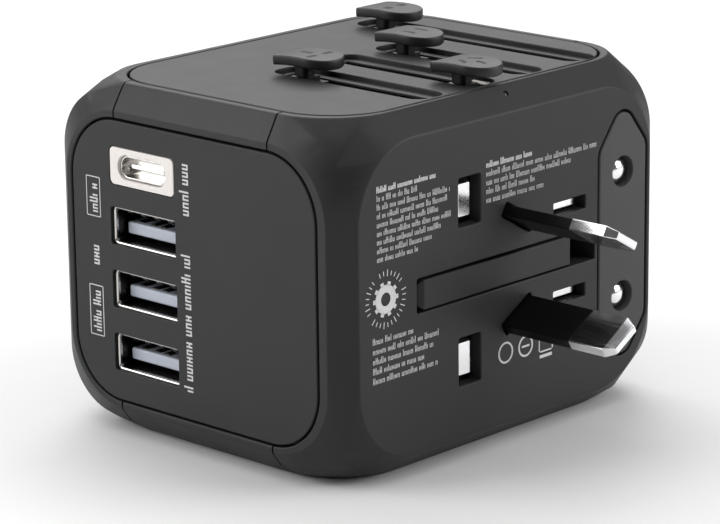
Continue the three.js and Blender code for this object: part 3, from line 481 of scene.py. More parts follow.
def plug_core():
    """The core of the long hexagon of the European plug block, in its own plane."""
    middle = centre("eu_plug_block")
    width, shoulder, tip = 2.7 * MM, 11.76 * MM, 15.2 * MM
    points = ((width, -shoulder), (width, shoulder), (0, tip),
              (-width, shoulder), (-width, -shoulder), (0, -tip))
    return [(middle.x + u, middle.z + v) for u, v in points]


PLUG_RADIUS = 2.45 * MM
PLUG_GAP = 0.33 * MM


def front_cutters():
    """Cutters for the openings in the pin face, each with a rounded rim."""
    start = PIN_FACE_Y + SKIN
    end = start + 3.2 * MM
    cutters = []
    for side, word in WORDS:
        for family, depth in (("uk", 0.35 * MM), ("us", 0.25 * MM)):
            node = f"{family}_{word}_pin"
            middle, half = centre(node), half_size(node)
            core = rectangle(middle.x, middle.z, half.x + PIN_GAP, half.z + PIN_GAP, depth)
            cutters.append(slab("y", core, depth, start, end, edge_start=-RIM))
        middle = centre(f"aus_{word}_pin")
        core = rectangle(middle.x, middle.z, AUS_HALF[0] + PIN_GAP, AUS_HALF[1] + PIN_GAP, 0.2 * MM,
                         turn=-side * AUS_TILT)
        cutters.append(slab("y", core, 0.2 * MM, start, end, edge_start=-RIM))
    cutters.append(slab("y", plug_core(), PLUG_RADIUS + PLUG_GAP, start, start + 19.5 * MM, edge_start=-RIM))
    trough = rectangle((TROUGH_LOW.x + TROUGH_HIGH.x) / 2, CASING_MID.z, (TROUGH_HIGH.x - TROUGH_LOW.x) / 2,
                       TROUGH_HIGH.z, 0.3 * MM)
    cutters.append(slab("y", trough, 0.3 * MM, start, start + 7.5 * MM, edge_start=-RIM))
    return joined(cutters)


PANEL_GAP = 0.32 * MM
PANEL_RIM = 0.25 * MM
PANELS = {
    "slider_panel": ("z", 1, 9.6 * MM),
    "base_panel": ("z", -1, 9.0 * MM),
    "usb_panel": ("x", -1, 8.7 * MM),
    "side_panel": ("x", 1, 8.7 * MM),
}
POCKET_DEPTH = 1.82 * MM


def panel_core(node):
    axis, _, radius = PANELS[node]
    middle, half = centre(node), half_size(node)
    if axis == "z":
        return rectangle(middle.x, middle.y, half.x, half.y, radius)
    return rectangle(middle.y, middle.z, half.y, half.z, radius)


def panel_plane(node):
    axis, side, _ = PANELS[node]
    low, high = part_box(node)
    edge = high if side > 0 else low
    return edge.z if axis == "z" else edge.x


def pocket_cutters():
    cutters = []
    for node, (axis, side, radius) in PANELS.items():
        plane = panel_plane(node) - side * SKIN
        cutters.append(slab(axis, panel_core(node), radius + PANEL_GAP, plane, plane - side * POCKET_DEPTH,
                            edge_start=-PANEL_RIM, step=CORNER_STEP))
    return joined(cutters)


# Half sizes of the socket's openings across X and Z, and how far each lies from the middle.
BRITISH_HOLE = ((2.38 * MM, 3.63 * MM), 11.1 * MM)
ROUND_HOLE = (2.53 * MM, 9.3 * MM)
BLADE_HOLE = (3.63 * MM, 1.13 * MM)
LEVEL_BLADE_AT = 6.35 * MM
SLANTED_BLADE_AT = 6.85 * MM
EARTH_HOLE = (4.43 * MM, 2.53 * MM)
EARTH_HOLE_IN = 5.2 * MM


def socket_cutters():
    """Cutters for the openings of the universal socket, each with a rounded rim."""
    start = CASING_HIGH.y - SKIN
    end = start - 3.2 * MM
    middle = centre("socket_block")
    socket_x = centre("live_contact").x
    earth_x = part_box("socket_block")[0].x + EARTH_HOLE_IN
    outlines = []
    for side, _ in WORDS:
        half, away = BRITISH_HOLE
        outlines.append((rectangle(socket_x, middle.z + side * away, *half, 0.8 * MM), 0.8 * MM))
        radius, away = ROUND_HOLE
        outlines.append(([(socket_x, middle.z + side * away)], radius))
        level = rectangle(socket_x, middle.z + side * LEVEL_BLADE_AT, *BLADE_HOLE, 0.4 * MM)
        outlines.append((level, 0.4 * MM))
        slanted = rectangle(socket_x, middle.z + side * SLANTED_BLADE_AT, *BLADE_HOLE, 0.3 * MM,
                            turn=side * AUS_TILT)
        outlines.append((slanted, 0.3 * MM))
    outlines.append((rectangle(earth_x, middle.z, *EARTH_HOLE, 0.8 * MM), 0.8 * MM))
    return [slab("y", core, radius, start, end, edge_start=-RIM) for core, radius in outlines]


def screw_cutters():
    start = CASING_HIGH.y - SKIN
    cutters = []
    for index in range(1, 5):
        low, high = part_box(f"case_screw_{index}")
        middle = (low + high) / 2
        radius = (high.x - low.x) / 2 + 0.33 * MM
        cutters.append(slab("y", [(middle.x, middle.z)], radius, start, high.y - 1.3 * MM, edge_start=-RIM))
    return joined(cutters)


def add_casing():
    for node in CASING_NODES:
        shell = copy_of(node, f"{node}_fine")
        carve(shell, casing_hull(), "INTERSECT")
        carve(shell, pocket_cutters())
        if node == "pin_side_shell":
            carve(shell, front_cutters())
        if node == "socket_side_shell":
            for cutter in socket_cutters():
                carve(shell, cutter)
            carve(shell, screw_cutters())
        dress(shell, MATERIALS["casing"], node)


# ---------------------------------------------------------------- panels

JOINTS = {joint["name"]: joint for joint in frame["record"]["behaviour"]["joints"]}
FAMILIES = ("uk", "aus", "us", "eu")
TRACK_DEPTH = 0.7 * MM
TRACK_HALF = 2.9 * MM
SLOT_HALF = 1.15 * MM
LEDGE = 0.3 * MM
CHANNEL_HALF = 2.6 * MM


def track_ends(family):
    """The ends of the way that a knob's stem runs along, from its limits."""
    low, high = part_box(f"{family}_slider_knob")
    least, most = JOINTS[f"{family}_slide"]["range_m"]
    return low.y - most + 1.8 * MM, high.y - least + 1.0 * MM


def add_slider_panel():
    node = "slider_panel"
    low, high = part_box(node)
    panel = add_object("slider_panel_fine",
                       slab("z", panel_core(node), PANELS[node][2], low.z, high.z, edge_end=0.2 * MM,
                            step=CORNER_STEP))
    recesses, slots, channels = [], [], []
    for family in FAMILIES:
        x = centre(f"{family}_slider_knob").x
        front, rear = track_ends(family)
        radius = 2.2 * MM
        core = rectangle(x, (front + rear) / 2, TRACK_HALF, (rear - front) / 2, radius)
        recesses.append(slab("z", core, radius, high.z, high.z - TRACK_DEPTH, edge_start=-0.18 * MM))
        core = rectangle(x, (front + rear - 0.9 * MM) / 2, SLOT_HALF, (rear - front - 1.5 * MM) / 2, 0.3 * MM)
        slots.append(slab("z", core, 0.3 * MM, high.z - TRACK_DEPTH, low.z - CUT_BEYOND,
                          edge_start=-0.08 * MM))
        core = rectangle(x, (front + rear) / 2, CHANNEL_HALF, (rear - front) / 2, 0.3 * MM)
        channels.append(slab("z", core, 0.3 * MM, high.z - TRACK_DEPTH - LEDGE, low.z - CUT_BEYOND))
    for cutters in (recesses, slots, channels):
        carve(panel, joined(cutters))
    dress(panel, MATERIALS["panel"], node)


USB_A_NODES = ("usb_a_shell_1", "usb_a_shell_2", "usb_a_shell_3")


def add_side_panels():
    for node in ("usb_panel", "side_panel"):
        side = PANELS[node][1]
        low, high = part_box(node)
        outer, inner = (low.x, high.x) if side < 0 else (high.x, low.x)
        panel = add_object(f"{node}_fine", slab("x", panel_core(node), PANELS[node][2], outer, inner,
                                                edge_start=0.2 * MM, step=CORNER_STEP))
        if node == "usb_panel":
            cutters = []
            for port, gap, radius in [(name, 0.1 * MM, 0.45 * MM) for name in USB_A_NODES] + [
                    ("usb_c_bezel", 0.1 * MM, 0.8 * MM)]:
                middle, half = centre(port), half_size(port)
                core = rectangle(middle.y, middle.z, half.y + gap, half.z + gap, radius)
                cutters.append(slab("x", core, radius, outer, inner + CUT_BEYOND, edge_start=-0.1 * MM))
            carve(panel, joined(cutters))
        dress(panel, MATERIALS["panel"], node)
    node = "base_panel"
    low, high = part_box(node)
    panel = add_object("base_panel_fine", slab("z", panel_core(node), PANELS[node][2], low.z, high.z,
                                               edge_start=0.2 * MM, step=CORNER_STEP))
    dress(panel, MATERIALS["panel"], node)


# ---------------------------------------------------------------- knobs

KNOB_CAP = 1.4 * MM
KNOB_BEHIND = 3.8 * MM
ARCH_RADIUS = 32 * MM
STEM_HALF = (1.1 * MM, 1.25 * MM)
STEM_BEHIND = 0.7 * MM


def knob_place(node):
    """The middle X of a knob and the Y of its tang."""
    low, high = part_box(node)
    return (low.x + high.x) / 2, high.y - KNOB_BEHIND


def arch_drop(node, y):
    """How far the arched top lies under its highest line at a Y."""
    return (y - knob_place(node)[1] + 1.0 * MM) ** 2 / (2 * ARCH_RADIUS)


def knob_cap(node):
    """A D-shaped cap, rounded all round and bent down towards both ends."""
    low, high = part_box(node)
    middle_x = knob_place(node)[0]
    half = (high.x - low.x) / 2
    corner = 0.6 * MM
    nose_y = low.y + half
    reach = half - corner
    points = []
    for k in range(25):
        angle = math.pi + math.pi * k / 24
        points.append((middle_x + reach * math.cos(angle), nose_y + reach * math.sin(angle)))
    points += [(middle_x + half - corner, high.y - corner), (middle_x - half + corner, high.y - corner)]
    mesh = slab("z", points, corner, high.z - KNOB_CAP, high.z, edge_start=0.3 * MM, edge_end=0.22 * MM,
                step=math.radians(15))
    cuts = 30
    for k in range(1, cuts):
        y = low.y + (high.y - low.y) * k / cuts
        bmesh.ops.bisect_plane(mesh, geom=mesh.verts[:] + mesh.edges[:] + mesh.faces[:], dist=1e-8,
                               plane_co=(0, y, 0), plane_no=(0, 1, 0))
    for vertex in mesh.verts:
        vertex.co.z -= arch_drop(node, vertex.co.y)
    return mesh


# Pin pictogram engraved on each knob: places from its middle, half sizes and turns.
PICTOGRAMS = {
    "uk": (((0.0, 1.1), (0.32, 0.75), 0.0), ((-1.2, -0.8), (0.7, 0.3), 0.0), ((1.2, -0.8), (0.7, 0.3), 0.0)),
    "aus": (((-1.0, 0.5), (0.26, 0.85), -0.5), ((1.0, 0.5), (0.26, 0.85), 0.5),
            ((0.0, -1.2), (0.26, 0.6), 0.0)),
    "us": (((-0.95, 0.0), (0.26, 0.95), 0.0), ((0.95, 0.0), (0.26, 0.95), 0.0)),
    "eu": (((-1.1, 0.0), (0.5, 0.5), 0.0), ((1.1, 0.0), (0.5, 0.5), 0.0)),
}
PICTOGRAM_SIZE = 1.3
ENGRAVING = 0.06 * MM


def knob_marks(node, family, lowest, highest):
    """The pictogram's outlines as short columns between two depths under the arch."""
    middle_x, tang_y = knob_place(node)
    columns = []
    for (x, y), (half_x, half_y), turn in PICTOGRAMS[family]:
        at_y = tang_y + (y * PICTOGRAM_SIZE - 1.2) * MM
        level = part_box(node)[1].z - arch_drop(node, at_y)
        half_x, half_y = half_x * PICTOGRAM_SIZE * MM, half_y * PICTOGRAM_SIZE * MM
        core = rectangle(middle_x + x * PICTOGRAM_SIZE * MM, at_y, half_x, half_y, 0.15 * MM, turn=turn)
        columns.append(slab("z", core, 0.15 * MM, level - lowest, level + highest, step=math.radians(20)))
    return joined(columns)


def add_knobs():
    for family in FAMILIES:
        node = f"{family}_slider_knob"
        low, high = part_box(node)
        middle_x, tang_y = knob_place(node)
        floor = TOP_Z - TRACK_DEPTH
        cap = add_object(f"{family}_knob_fine", knob_cap(node))
        carve(cap, knob_marks(node, family, ENGRAVING, 0.4 * MM))
        stem = slab("z", rectangle(middle_x, tang_y + STEM_BEHIND, *STEM_HALF, 0.7 * MM), 0.7 * MM,
                    floor + 0.2 * MM, high.z - KNOB_CAP + 0.15 * MM, edge_start=0.1 * MM)
        tang = slab("z", rectangle(middle_x, tang_y, 0.65 * MM, 1.7 * MM, 0.1 * MM), 0.1 * MM,
                    low.z, floor + 0.5 * MM)
        strip = slab("z", rectangle(middle_x, tang_y, 0.8 * MM, 3.2 * MM, 0.1 * MM), 0.1 * MM,
                     TOP_Z - 1.4 * MM, floor - 0.15 * MM)
        for mesh in (stem, tang, strip):
            carve(cap, mesh, "UNION")
        dress(cap, MATERIALS["knob"], node)
        ink = add_object(f"{family}_knob_ink", knob_marks(node, family, ENGRAVING + 0.05 * MM, -0.02 * MM))
        dress(ink, MATERIALS["dark_ink"], body=BODY_OF[node])


RIB_PITCH = 0.42 * MM
RIBS = 8


def add_ribbed_strip():
    """A pale ribbed strip on the floor of the track that the slid-out knob stands in."""
    middle_x, tang_y = knob_place("aus_slider_knob")
    floor = TOP_Z - TRACK_DEPTH
    ribs = []
    for k in range(RIBS):
        y = tang_y + 0.7 * MM - k * RIB_PITCH
        core = rectangle(middle_x + 1.95 * MM, y, 0.75 * MM, 0.16 * MM, 0.05 * MM)
        ribs.append(slab("z", core, 0.05 * MM, floor - 0.05 * MM, floor + 0.2 * MM, edge_end=0.05 * MM))
    dress(add_object("ribbed_strip", joined(ribs)), MATERIALS["cream_insert"],
          body="casing", slot="cream_insert")


# ---------------------------------------------------------------- plug pins

WAIST = 0.5 * MM


def pin_loft(sections, radius, turn, place):
    """A bar along Y through rounded rectangles: (y, half width, half height)."""
    loops = []
    for y, half_u, half_v in sections:
        corner = min(radius, half_u * 0.9, half_v * 0.9)
        outline = rounded(rectangle(0, 0, half_u, half_v, corner, turn=turn), corner, math.radians(22))
        loops.append([Vector((place.x + p.x, y, place.z + p.y)) for p, _ in outline])
    return loft(loops)


def flat_pin(node, half_u, half_v, bevel, turn, sleeve):
    low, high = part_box(node)
    place = (low + high) / 2
    tip, root = low.y, high.y
    slope_u = bevel * 0.5
    slope_v = min(bevel * 0.5, half_v * 0.28)
    edge = 0.12 * MM
    sections = [
        (tip, half_u - slope_u - edge, half_v - slope_v - edge),
        (tip + edge, half_u - slope_u, half_v - slope_v),
        (tip + bevel - edge, half_u - 0.04 * MM, half_v - 0.03 * MM),
        (tip + bevel + edge, half_u, half_v),
    ]
    if sleeve is None:
        sections.append((root, half_u, half_v))
    else:
        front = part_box(sleeve)[0].y - 0.1 * MM
        sections += [(front, half_u, half_v), (front + 0.02 * MM, half_u - WAIST, half_v - WAIST),
                     (root, half_u - WAIST, half_v - WAIST)]
    return pin_loft(sections, 0.15 * MM, turn, place)


def flat_sleeve(node, half_u, half_v, turn):
    low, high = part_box(node)
    place = (low + high) / 2
    wall = 0.4 * MM
    outer = slab("y", rectangle(place.x, place.z, half_u, half_v, 0.18 * MM, turn=turn), 0.18 * MM,
                 low.y, high.y, edge_start=0.1 * MM, step=math.radians(22))
    sleeve = add_object(f"{node}_fine", outer)
    core = rectangle(place.x, place.z, half_u - wall, half_v - wall, 0.05 * MM, turn=turn)
    inner = slab("y", core, 0.05 * MM, low.y - CUT_BEYOND, high.y + CUT_BEYOND, step=math.radians(45))
    return carve(sleeve, inner)


def add_flat_pins():
    rows = (
        ("uk", (2.0 * MM, 3.175 * MM), 1.6 * MM, 0.0, True),
        ("us", (3.175 * MM, 0.75 * MM), 1.4 * MM, 0.0, False),
        ("aus", AUS_HALF, 1.6 * MM, AUS_TILT, True),
    )
    for family, (half_u, half_v), bevel, tilt, sleeved in rows:
        for side, word in WORDS:
            pin = f"{family}_{word}_pin"
            sleeve = f"{family}_{word}_sleeve" if sleeved else None
            turn = -side * tilt
            dress(add_object(f"{pin}_fine", flat_pin(pin, half_u, half_v, bevel, turn, sleeve)),
                  MATERIALS["pin_metal"], pin)
            if sleeve:
                dress(flat_sleeve(sleeve, half_u, half_v, turn), MATERIALS["sleeve"], sleeve)


def revolved(profile, place, steps=40):
    """A closed round bar along Y: (y, radius) pairs from tip to root."""
    loops = []
    for y, radius in profile:
        loops.append([Vector((place.x + radius * math.cos(2 * math.pi * k / steps), y,
                              place.z + radius * math.sin(2 * math.pi * k / steps))) for k in range(steps)])
    return loft(loops)


def add_round_pins():
    for _, word in WORDS:
        pin, sleeve = f"eu_{word}_pin", f"eu_{word}_sleeve"
        low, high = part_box(pin)
        place = (low + high) / 2
        radius = (high.x - low.x) / 2
        dome = 1.4 * MM
        profile = []
        for k in range(1, 13):
            angle = math.pi / 2 * k / 12
            profile.append((low.y + dome * (1 - math.cos(angle)), radius * math.sin(angle)))
        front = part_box(sleeve)[0].y - 0.1 * MM
        profile += [(front, radius), (front + 0.02 * MM, radius - WAIST), (high.y, radius - WAIST)]
        dress(add_object(f"{pin}_fine", revolved(profile, place)), MATERIALS["pin_metal"], pin)
        low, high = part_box(sleeve)
        core = [(place.x, place.z)]
        outer = slab("y", core, (high.x - low.x) / 2, low.y, high.y, edge_start=0.1 * MM,
                     step=math.radians(9))
        tube = add_object(f"{sleeve}_fine", outer)
        carve(tube, slab("y", core, radius - 0.4 * MM, low.y - CUT_BEYOND, high.y + CUT_BEYOND,
                         step=math.radians(9)))
        dress(tube, MATERIALS["sleeve"], sleeve)


BLOCK_HOLLOW = (3.6 * MM, 5.2 * MM)
BLOCK_FACE = 2.2 * MM


def add_plug_block():
    node = "eu_plug_block"
    low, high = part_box(node)
    outside = slab("y", plug_core(), PLUG_RADIUS, low.y, high.y, edge_start=0.3 * MM)
    block = add_object("eu_plug_block_fine", outside)
    bores = []
    for _, word in WORDS:
        middle = centre(f"eu_{word}_pin")
        radius = half_size(f"eu_{word}_pin").x + PIN_GAP
        bores.append(slab("y", [(middle.x, middle.z)], radius, low.y, high.y + CUT_BEYOND,
                          edge_start=-0.14 * MM))
    carve(block, joined(bores))
    hollow = rectangle(centre(node).x, centre(node).z, *BLOCK_HOLLOW, 0.6 * MM)
    carve(block, slab("y", hollow, 0.6 * MM, low.y + BLOCK_FACE, high.y + CUT_BEYOND))
    dress(block, MATERIALS["plug_block"], node)


# ---------------------------------------------------------------- USB ports

PORT_WALL = 0.3 * MM
LIP = 0.55 * MM


def port_tube(name, node, start, end, edge_outside, edge_inside, closed):
    """A stretch of a port's thin-walled shell."""
    middle, half = centre(node), half_size(node)
    tube = add_object(name, slab("x", rectangle(middle.y, middle.z, half.y, half.z, 0.5 * MM), 0.5 * MM,
                                 start, end, edge_start=edge_outside))
    inside = rectangle(middle.y, middle.z, half.y - PORT_WALL, half.z - PORT_WALL, 0.4 * MM)
    stop = end - PORT_WALL if closed else end + CUT_BEYOND
    return carve(tube, slab("x", inside, 0.4 * MM, start - (0.0 if edge_inside else CUT_BEYOND), stop,
                            edge_start=-edge_inside))


def add_usb_a_ports():
    for index, node in enumerate(USB_A_NODES, start=1):
        low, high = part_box(node)
        middle, half = centre(node), half_size(node)
        lip = port_tube(f"usb_a_lip_{index}", node, low.x, low.x + LIP, 0.0, 0.26 * MM, False)
        dress(lip, MATERIALS["port_shell"], body=BODY_OF[node], slot="port_shell")
        # Past the bright lip, the shell, its springs and its contacts are painted near-black as painted shade
        # inside the port.
        tube = port_tube(f"{node}_fine", node, low.x + LIP, high.x, 0.0, 0.0, True)
        dress(tube, MATERIALS["port_painted_shade"], node)
        springs = [port_spring(middle, half, low.x, across * MM) for across in (-3.6, -0.9, 1.8, 4.4)]
        dress(add_object(f"usb_a_springs_{index}", joined(springs)), MATERIALS["port_painted_shade"],
              body=BODY_OF[node], slot="port_shell")
        tongue = f"usb_a_tongue_{index}"
        low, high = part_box(tongue)
        middle, half = centre(tongue), half_size(tongue)
        core = rectangle(middle.y, middle.z, half.y, half.z, 0.35 * MM)
        dress(add_object(f"{tongue}_fine", slab("x", core, 0.35 * MM, low.x, high.x, edge_start=0.3 * MM)),
              MATERIALS["port_tongue"], tongue)
        contacts = []
        level = middle.z + half.z + 0.02 * MM
        for place in (-3.5, -1.0, 1.0, 3.5):
            core = rectangle(middle.y + place * MM, level, 0.55 * MM, 0.1 * MM, 0.05 * MM)
            contacts.append(slab("x", core, 0.05 * MM, low.x + 0.6 * MM, high.x - 2 * MM,
                                 edge_start=0.05 * MM))
        dress(add_object(f"usb_a_contacts_{index}", joined(contacts)), MATERIALS["port_painted_shade"],
              body=BODY_OF[node], slot="contact_brass")


def port_spring(middle, half, front, across):
    """A contact spring that comes down from the roof of a port towards its mouth."""
    wall = middle.z + half.z - PORT_WALL
    path = ((1.3, 0.35), (1.8, 0.85), (2.4, 1.0), (3.4, 0.7), (5.4, 0.02))
    thick = 0.2 * MM
    loops = []
    for depth, dip in path:
        x = front + depth * MM
        z = wall - dip * MM
        y = middle.y + across
        width = 0.5 * MM
        loops.append([Vector((x, y - width, z)), Vector((x, y + width, z)),
                      Vector((x, y + width, z - thick)), Vector((x, y - width, z - thick))])
    return loft(loops)


def add_usb_c_port():
    low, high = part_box("usb_c_bezel")
    middle, half = centre("usb_c_bezel"), half_size("usb_c_bezel")
    shell_half = half_size("usb_c_shell")
    bezel = add_object("usb_c_bezel_fine", slab("x", rectangle(middle.y, middle.z, half.y, half.z, 0.8 * MM),
                                                0.8 * MM, low.x, high.x, edge_start=0.15 * MM))
    slot = rectangle(middle.y, middle.z, shell_half.y + 0.1 * MM, shell_half.z + 0.1 * MM, 1.7 * MM)
    carve(bezel, slab("x", slot, 1.7 * MM, low.x, high.x + CUT_BEYOND, edge_start=-0.12 * MM))
    dress(bezel, MATERIALS["cream_insert"], "usb_c_bezel")
    low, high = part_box("usb_c_shell")
    radius = shell_half.z - 0.05 * MM
    core = rectangle(middle.y, middle.z, shell_half.y, shell_half.z, radius)
    shell = add_object("usb_c_shell_fine", slab("x", core, radius, low.x, high.x, edge_start=0.1 * MM))
    inside = rectangle(middle.y, middle.z, shell_half.y - PORT_WALL, shell_half.z - PORT_WALL,
                       radius - PORT_WALL)
    carve(shell, slab("x", inside, radius - PORT_WALL, low.x, high.x - PORT_WALL, edge_start=-0.12 * MM))
    dress(shell, MATERIALS["port_shell"], "usb_c_shell")
    mouth = low.x + 1.6 * MM
    back = slab("x", inside, radius - PORT_WALL, mouth, mouth + 0.6 * MM)
    dress(add_object("usb_c_back", back), MATERIALS["port_shell"], body="casing", slot="port_shell")
    low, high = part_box("usb_c_tongue")
    middle, half = centre("usb_c_tongue"), half_size("usb_c_tongue")
    core = rectangle(middle.y, middle.z, half.y, half.z, 0.25 * MM)
    dress(add_object("usb_c_tongue_fine", slab("x", core, 0.25 * MM, low.x, high.x, edge_start=0.15 * MM)),
          MATERIALS["pin_metal"], "usb_c_tongue")


# ---------------------------------------------------------------- every other node keeps its mesh

EDGE_WIDTH = 0.12 * MM


def soften_rest():
    """Joins up, flattens and bevels the CAD nodes that no finer piece stands for."""
    for part in NODES.values():
        if part.hide_render:
            continue
        for polygon in part.data.polygons:
            polygon.use_smooth = True
        weld = part.modifiers.new("weld", "WELD")
        weld.merge_threshold = 1e-7
        flat = part.modifiers.new("flat", "DECIMATE")
        flat.decimate_type = "DISSOLVE"
        flat.angle_limit = math.radians(1)
        edges = part.modifiers.new("edges", "BEVEL")
        edges.width = EDGE_WIDTH
        edges.segments = 2
        edges.limit_method = "ANGLE"
        edges.angle_limit = math.radians(40)
        edges.use_clamp_overlap = True
        normals = part.modifiers.new("normals", "WEIGHTED_NORMAL")
        normals.keep_sharp = True


# ---------------------------------------------------------------- print

INK_DEPTH = 0.03 * MM


class Ink:
    """Thin closed strokes laid on one face of the casing."""

    def __init__(self, axis, plane, side):
        self.axis, self.side = axis, side
        self.near = plane - side * 0.5 * INK_DEPTH
        self.far = plane + side * INK_DEPTH
        self.mesh = bmesh.new()

    def outline(self, points):
        rows = [[self.mesh.verts.new(on_axis(self.axis, u, v, level)) for u, v in points]
                for level in (self.near, self.far)]
        for i in range(len(points)):
            j = (i + 1) % len(points)
            self.mesh.faces.new((rows[0][i], rows[0][j], rows[1][j], rows[1][i]))
        self.mesh.faces.new(list(reversed(rows[0])))
        self.mesh.faces.new(rows[1])

    def bar(self, u, v, half_u, half_v, turn=0.0):
        """One stroke from its middle, in millimetres."""
        self.outline(rectangle(u * MM, v * MM, half_u * MM, half_v * MM, 0.0, turn))

    def ring(self, u, v, radius, width, start=0.0, sweep=360.0):
        """A ring or an arc of touching quads, in millimetres and degrees."""
        steps = max(6, round(abs(sweep) / 12))
        for k in range(steps):
            a, b = (math.radians(start + sweep * (k + part) / steps) for part in (0, 1))
            inner, outer = (radius - width / 2) * MM, (radius + width / 2) * MM
            corners = [(u * MM + r * math.cos(t), v * MM + r * math.sin(t))
                       for r, t in ((inner, a), (outer, a), (outer, b), (inner, b))]
            self.outline(corners)

    def finish(self, name):
        bmesh.ops.recalc_face_normals(self.mesh, faces=self.mesh.faces)
        return dress(add_object(name, self.mesh), MATERIALS["white_ink"], body="casing")


def greeked_line(ink, rng, u, v, length, height, along=(1, 0), weight=0.05):
    """A line of small upright ticks and dashes in word-like groups, read along a direction."""
    across = (along[1], along[0])

    def stroke(place, level, half):
        middle = (u + along[0] * place + across[0] * level, v + along[1] * place + across[1] * level)
        ink.bar(*middle, *(half if along[0] else half[::-1]))

    at = 0.0
    while at < length - height * 0.4:
        letters = rng.choice((2, 3, 4, 5, 6, 7))
        for _ in range(letters):
            if at > length - height * 0.3:
                break
            tall = height * rng.choice((0.62, 0.62, 0.62, 1.0))
            forms = rng.choice(("tick", "tick", "pair", "top", "foot"))
            ticks = (0.0, 0.3 * height) if forms != "tick" else (0.0,)
            for shift in ticks:
                stroke(at + shift, tall / 2, (weight, tall / 2))
            if forms in ("pair", "top", "foot"):
                level = {"pair": 0.31 * height, "top": 0.62 * height - weight, "foot": weight}[forms]
                stroke(at + 0.15 * height, level, (0.15 * height - weight, weight))
            at += (0.3 * height if len(ticks) > 1 else 0.0) + 0.28 * height
        at += 0.35 * height


def add_pin_face_print():
    rng = random.Random(11)
    ink = Ink("y", PIN_FACE_Y + SKIN, -1)
    first = (11.5, 8.2, 14.5, 13.6, 12.2, 14.6, 12.8, 11.0, 8.0)
    for row, length in enumerate(first):
        greeked_line(ink, rng, -26.6, 40.6 - 1.17 * row, length, 0.85, weight=0.07 if row == 0 else 0.042)
    add_gear(ink, -25.1, 26.0)
    for row, length in enumerate((8.0, 13.6, 12.4, 10.2, 12.9)):
        greeked_line(ink, rng, -27.6, 20.2 - 1.36 * row, length, 0.9, weight=0.045)
    for row, length in enumerate((9.4, 23.4, 17.8, 10.2, 12.6)):
        greeked_line(ink, rng, -5.0, 40.0 - 1.22 * row, length, 0.9, weight=0.075 if row == 0 else 0.045)
    ink.ring(-1.1, 13.2, 1.4, 0.28)
    ink.ring(3.1, 13.2, 1.4, 0.28)
    ink.bar(3.1, 13.2, 0.8, 0.14)
    for u, v, half_u, half_v in ((7.4, 14.7, 1.5, 0.1), (7.4, 11.6, 1.2, 0.1), (6.0, 13.15, 0.1, 1.45),
                                 (8.8, 13.15, 0.1, 1.45), (7.4, 10.9, 1.3, 0.22)):
        ink.bar(u, v, half_u, half_v)
    for u, half_v in ((11.0, 1.6), (11.7, 1.1), (12.4, 1.6)):
        ink.bar(u, 13.0, 0.16, half_v)
    ink.finish("pin_face_print")


def add_gear(ink, u, v):
    """A toothed wheel with a ring of small marks round it."""
    teeth = 10
    ink.ring(u, v, 1.45, 1.05)
    for k in range(teeth):
        angle = 2 * math.pi * k / teeth
        ink.bar(u + 2.15 * math.cos(angle), v + 2.15 * math.sin(angle), 0.26, 0.3, angle)
    marks = 30
    for k in range(marks):
        if k % 8 == 7:
            continue
        angle = math.radians(-60) + 2 * math.pi * k / marks
        ink.bar(u + 3.55 * math.cos(angle), v + 3.55 * math.sin(angle), 0.32 if k % 3 else 0.45, 0.06, angle)


def add_usb_face_print():
    rng = random.Random(23)
    ink = Ink("x", USB_FACE_X + SKIN, -1)
    for low_z, high_z in ((30.8, 36.4), (13.6, 20.8)):
        middle, half = (low_z + high_z) / 2, (high_z - low_z) / 2
        for u in (17.9, 20.6):
            ink.bar(u, middle, 0.07, half)
        for v in (low_z, high_z):
            ink.bar(19.25, v, 1.28, 0.07)
        greeked_line(ink, rng, 18.4, low_z + 0.7, high_z - low_z - 1.2, 1.6, along=(0, 1), weight=0.12)
    greeked_line(ink, rng, 18.4, 24.0, 2.6, 1.7, along=(0, 1), weight=0.13)
    greeked_line(ink, rng, 0.2, 34.0, 7.2, 1.8, along=(0, 1), weight=0.13)
    greeked_line(ink, rng, 0.2, 9.1, 20.8, 1.8, along=(0, 1), weight=0.13)
    ink.finish("usb_face_print")


# ---------------------------------------------------------------- floor, light and camera


def add_floor():
    size = 3.0
    mesh = bmesh.new()
    bmesh.ops.create_grid(mesh, x_segments=8, y_segments=8, size=size)
    floor = add_object("studio_floor", mesh)
    floor.location.z = cad_low.z - 0.0001
    material, tree, shader = new_material("floor_paper")
    tone = ramp(tree, noise(tree, 3, 2), 0.3, 0.7, 0.0, 1.0)
    colour = blend_colours(tree, tone, (0.8, 0.8, 0.8), (0.83, 0.83, 0.83))
    tree.links.new(colour, shader.inputs["Base Color"])
    shader.inputs["Roughness"].default_value = 0.7
    floor.data.materials.append(material)


def add_area_light(name, at, size, watts, target=None):
    data = bpy.data.lights.new(name, "AREA")
    data.shape = "RECTANGLE"
    data.size, data.size_y = size
    data.energy = watts
    light = bpy.data.objects.new(name, data)
    light.location = at
    aim = (target or CASING_MID) - light.location
    light.rotation_euler = aim.to_track_quat("-Z", "Y").to_euler()
    bpy.context.scene.collection.objects.link(light)


BEHIND = (0.70, 0.66, 0.27)


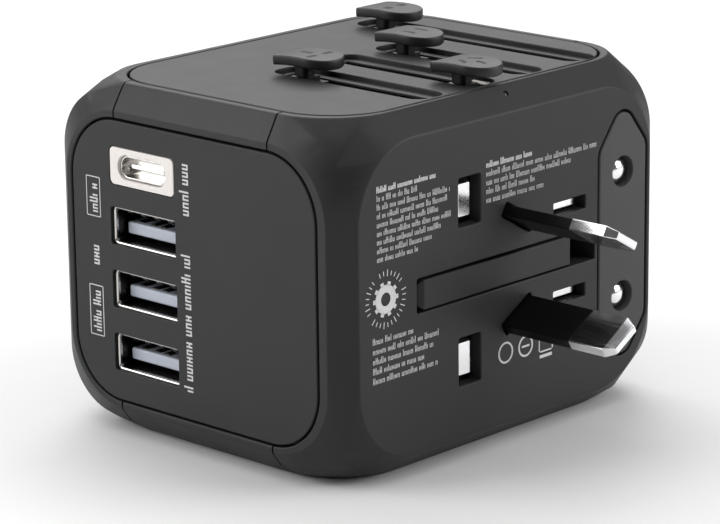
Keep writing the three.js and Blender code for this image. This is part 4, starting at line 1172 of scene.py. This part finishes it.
def add_world(near, far, backdrop):
    """Ambient light that grows from one strength on the near side to another behind the object, and
    a paler backdrop that only camera rays see."""
    world = bpy.data.worlds.new("studio")
    bpy.context.scene.world = world
    world.use_nodes = True
    tree = world.node_tree
    ambient = tree.nodes["Background"]
    ambient.inputs["Color"].default_value = (1, 1, 1, 1)
    place = tree.nodes.new("ShaderNodeTexCoord")
    along = tree.nodes.new("ShaderNodeVectorMath")
    along.operation = "DOT_PRODUCT"
    along.inputs[1].default_value = BEHIND
    tree.links.new(place.outputs["Generated"], along.inputs[0])
    tree.links.new(ramp(tree, along.outputs["Value"], -0.8, 0.9, near, far), ambient.inputs["Strength"])
    behind = tree.nodes.new("ShaderNodeBackground")
    behind.inputs["Color"].default_value = (1, 1, 1, 1)
    behind.inputs["Strength"].default_value = backdrop
    path = tree.nodes.new("ShaderNodeLightPath")
    mix = tree.nodes.new("ShaderNodeMixShader")
    tree.links.new(path.outputs["Is Camera Ray"], mix.inputs["Fac"])
    tree.links.new(ambient.outputs["Background"], mix.inputs[1])
    tree.links.new(behind.outputs["Background"], mix.inputs[2])
    tree.links.new(mix.outputs["Shader"], tree.nodes["World Output"].inputs["Surface"])


CAMERA_AT = Vector((-332.95, -315.86, 146.88)) * MM
CAMERA_TURN = math.radians(46.52)
CAMERA_DROP = math.radians(15.37)
CAMERA_ROLL = math.radians(-0.683)
LENS = 167.1


def add_camera():
    data = bpy.data.cameras.new("camera")
    data.lens = LENS
    data.clip_start = 0.01
    camera = bpy.data.objects.new("camera", data)
    turn = Matrix.Rotation(-CAMERA_TURN, 4, "Z")
    tilt = Matrix.Rotation(math.pi / 2 - CAMERA_DROP, 4, "X")
    roll = Matrix.Rotation(CAMERA_ROLL, 4, "Z")
    camera.matrix_world = Matrix.Translation(CAMERA_AT) @ turn @ tilt @ roll
    bpy.context.scene.collection.objects.link(camera)
    bpy.context.scene.camera = camera


add_casing()
add_slider_panel()
add_side_panels()
add_knobs()
add_ribbed_strip()
add_flat_pins()
add_round_pins()
add_plug_block()
add_usb_a_ports()
add_usb_c_port()
add_pin_face_print()
add_usb_face_print()
soften_rest()
add_camera()
add_floor()
add_world(0.075, 0.27, 1.0)
add_area_light("left_softbox", (-0.50, 0.42, 0.32), (0.5, 0.5), 3.3)
add_area_light("right_softbox", (0.42, -0.52, 0.32), (0.5, 0.5), 3.3)
add_area_light("back_softbox", (0.35, 0.55, 0.55), (0.9, 0.6), 4.6)
add_area_light("overhead_softbox", (0.0, 0.0, 0.95), (1.2, 1.2), 5.0)
bpy.context.scene.view_settings.view_transform = "Standard"
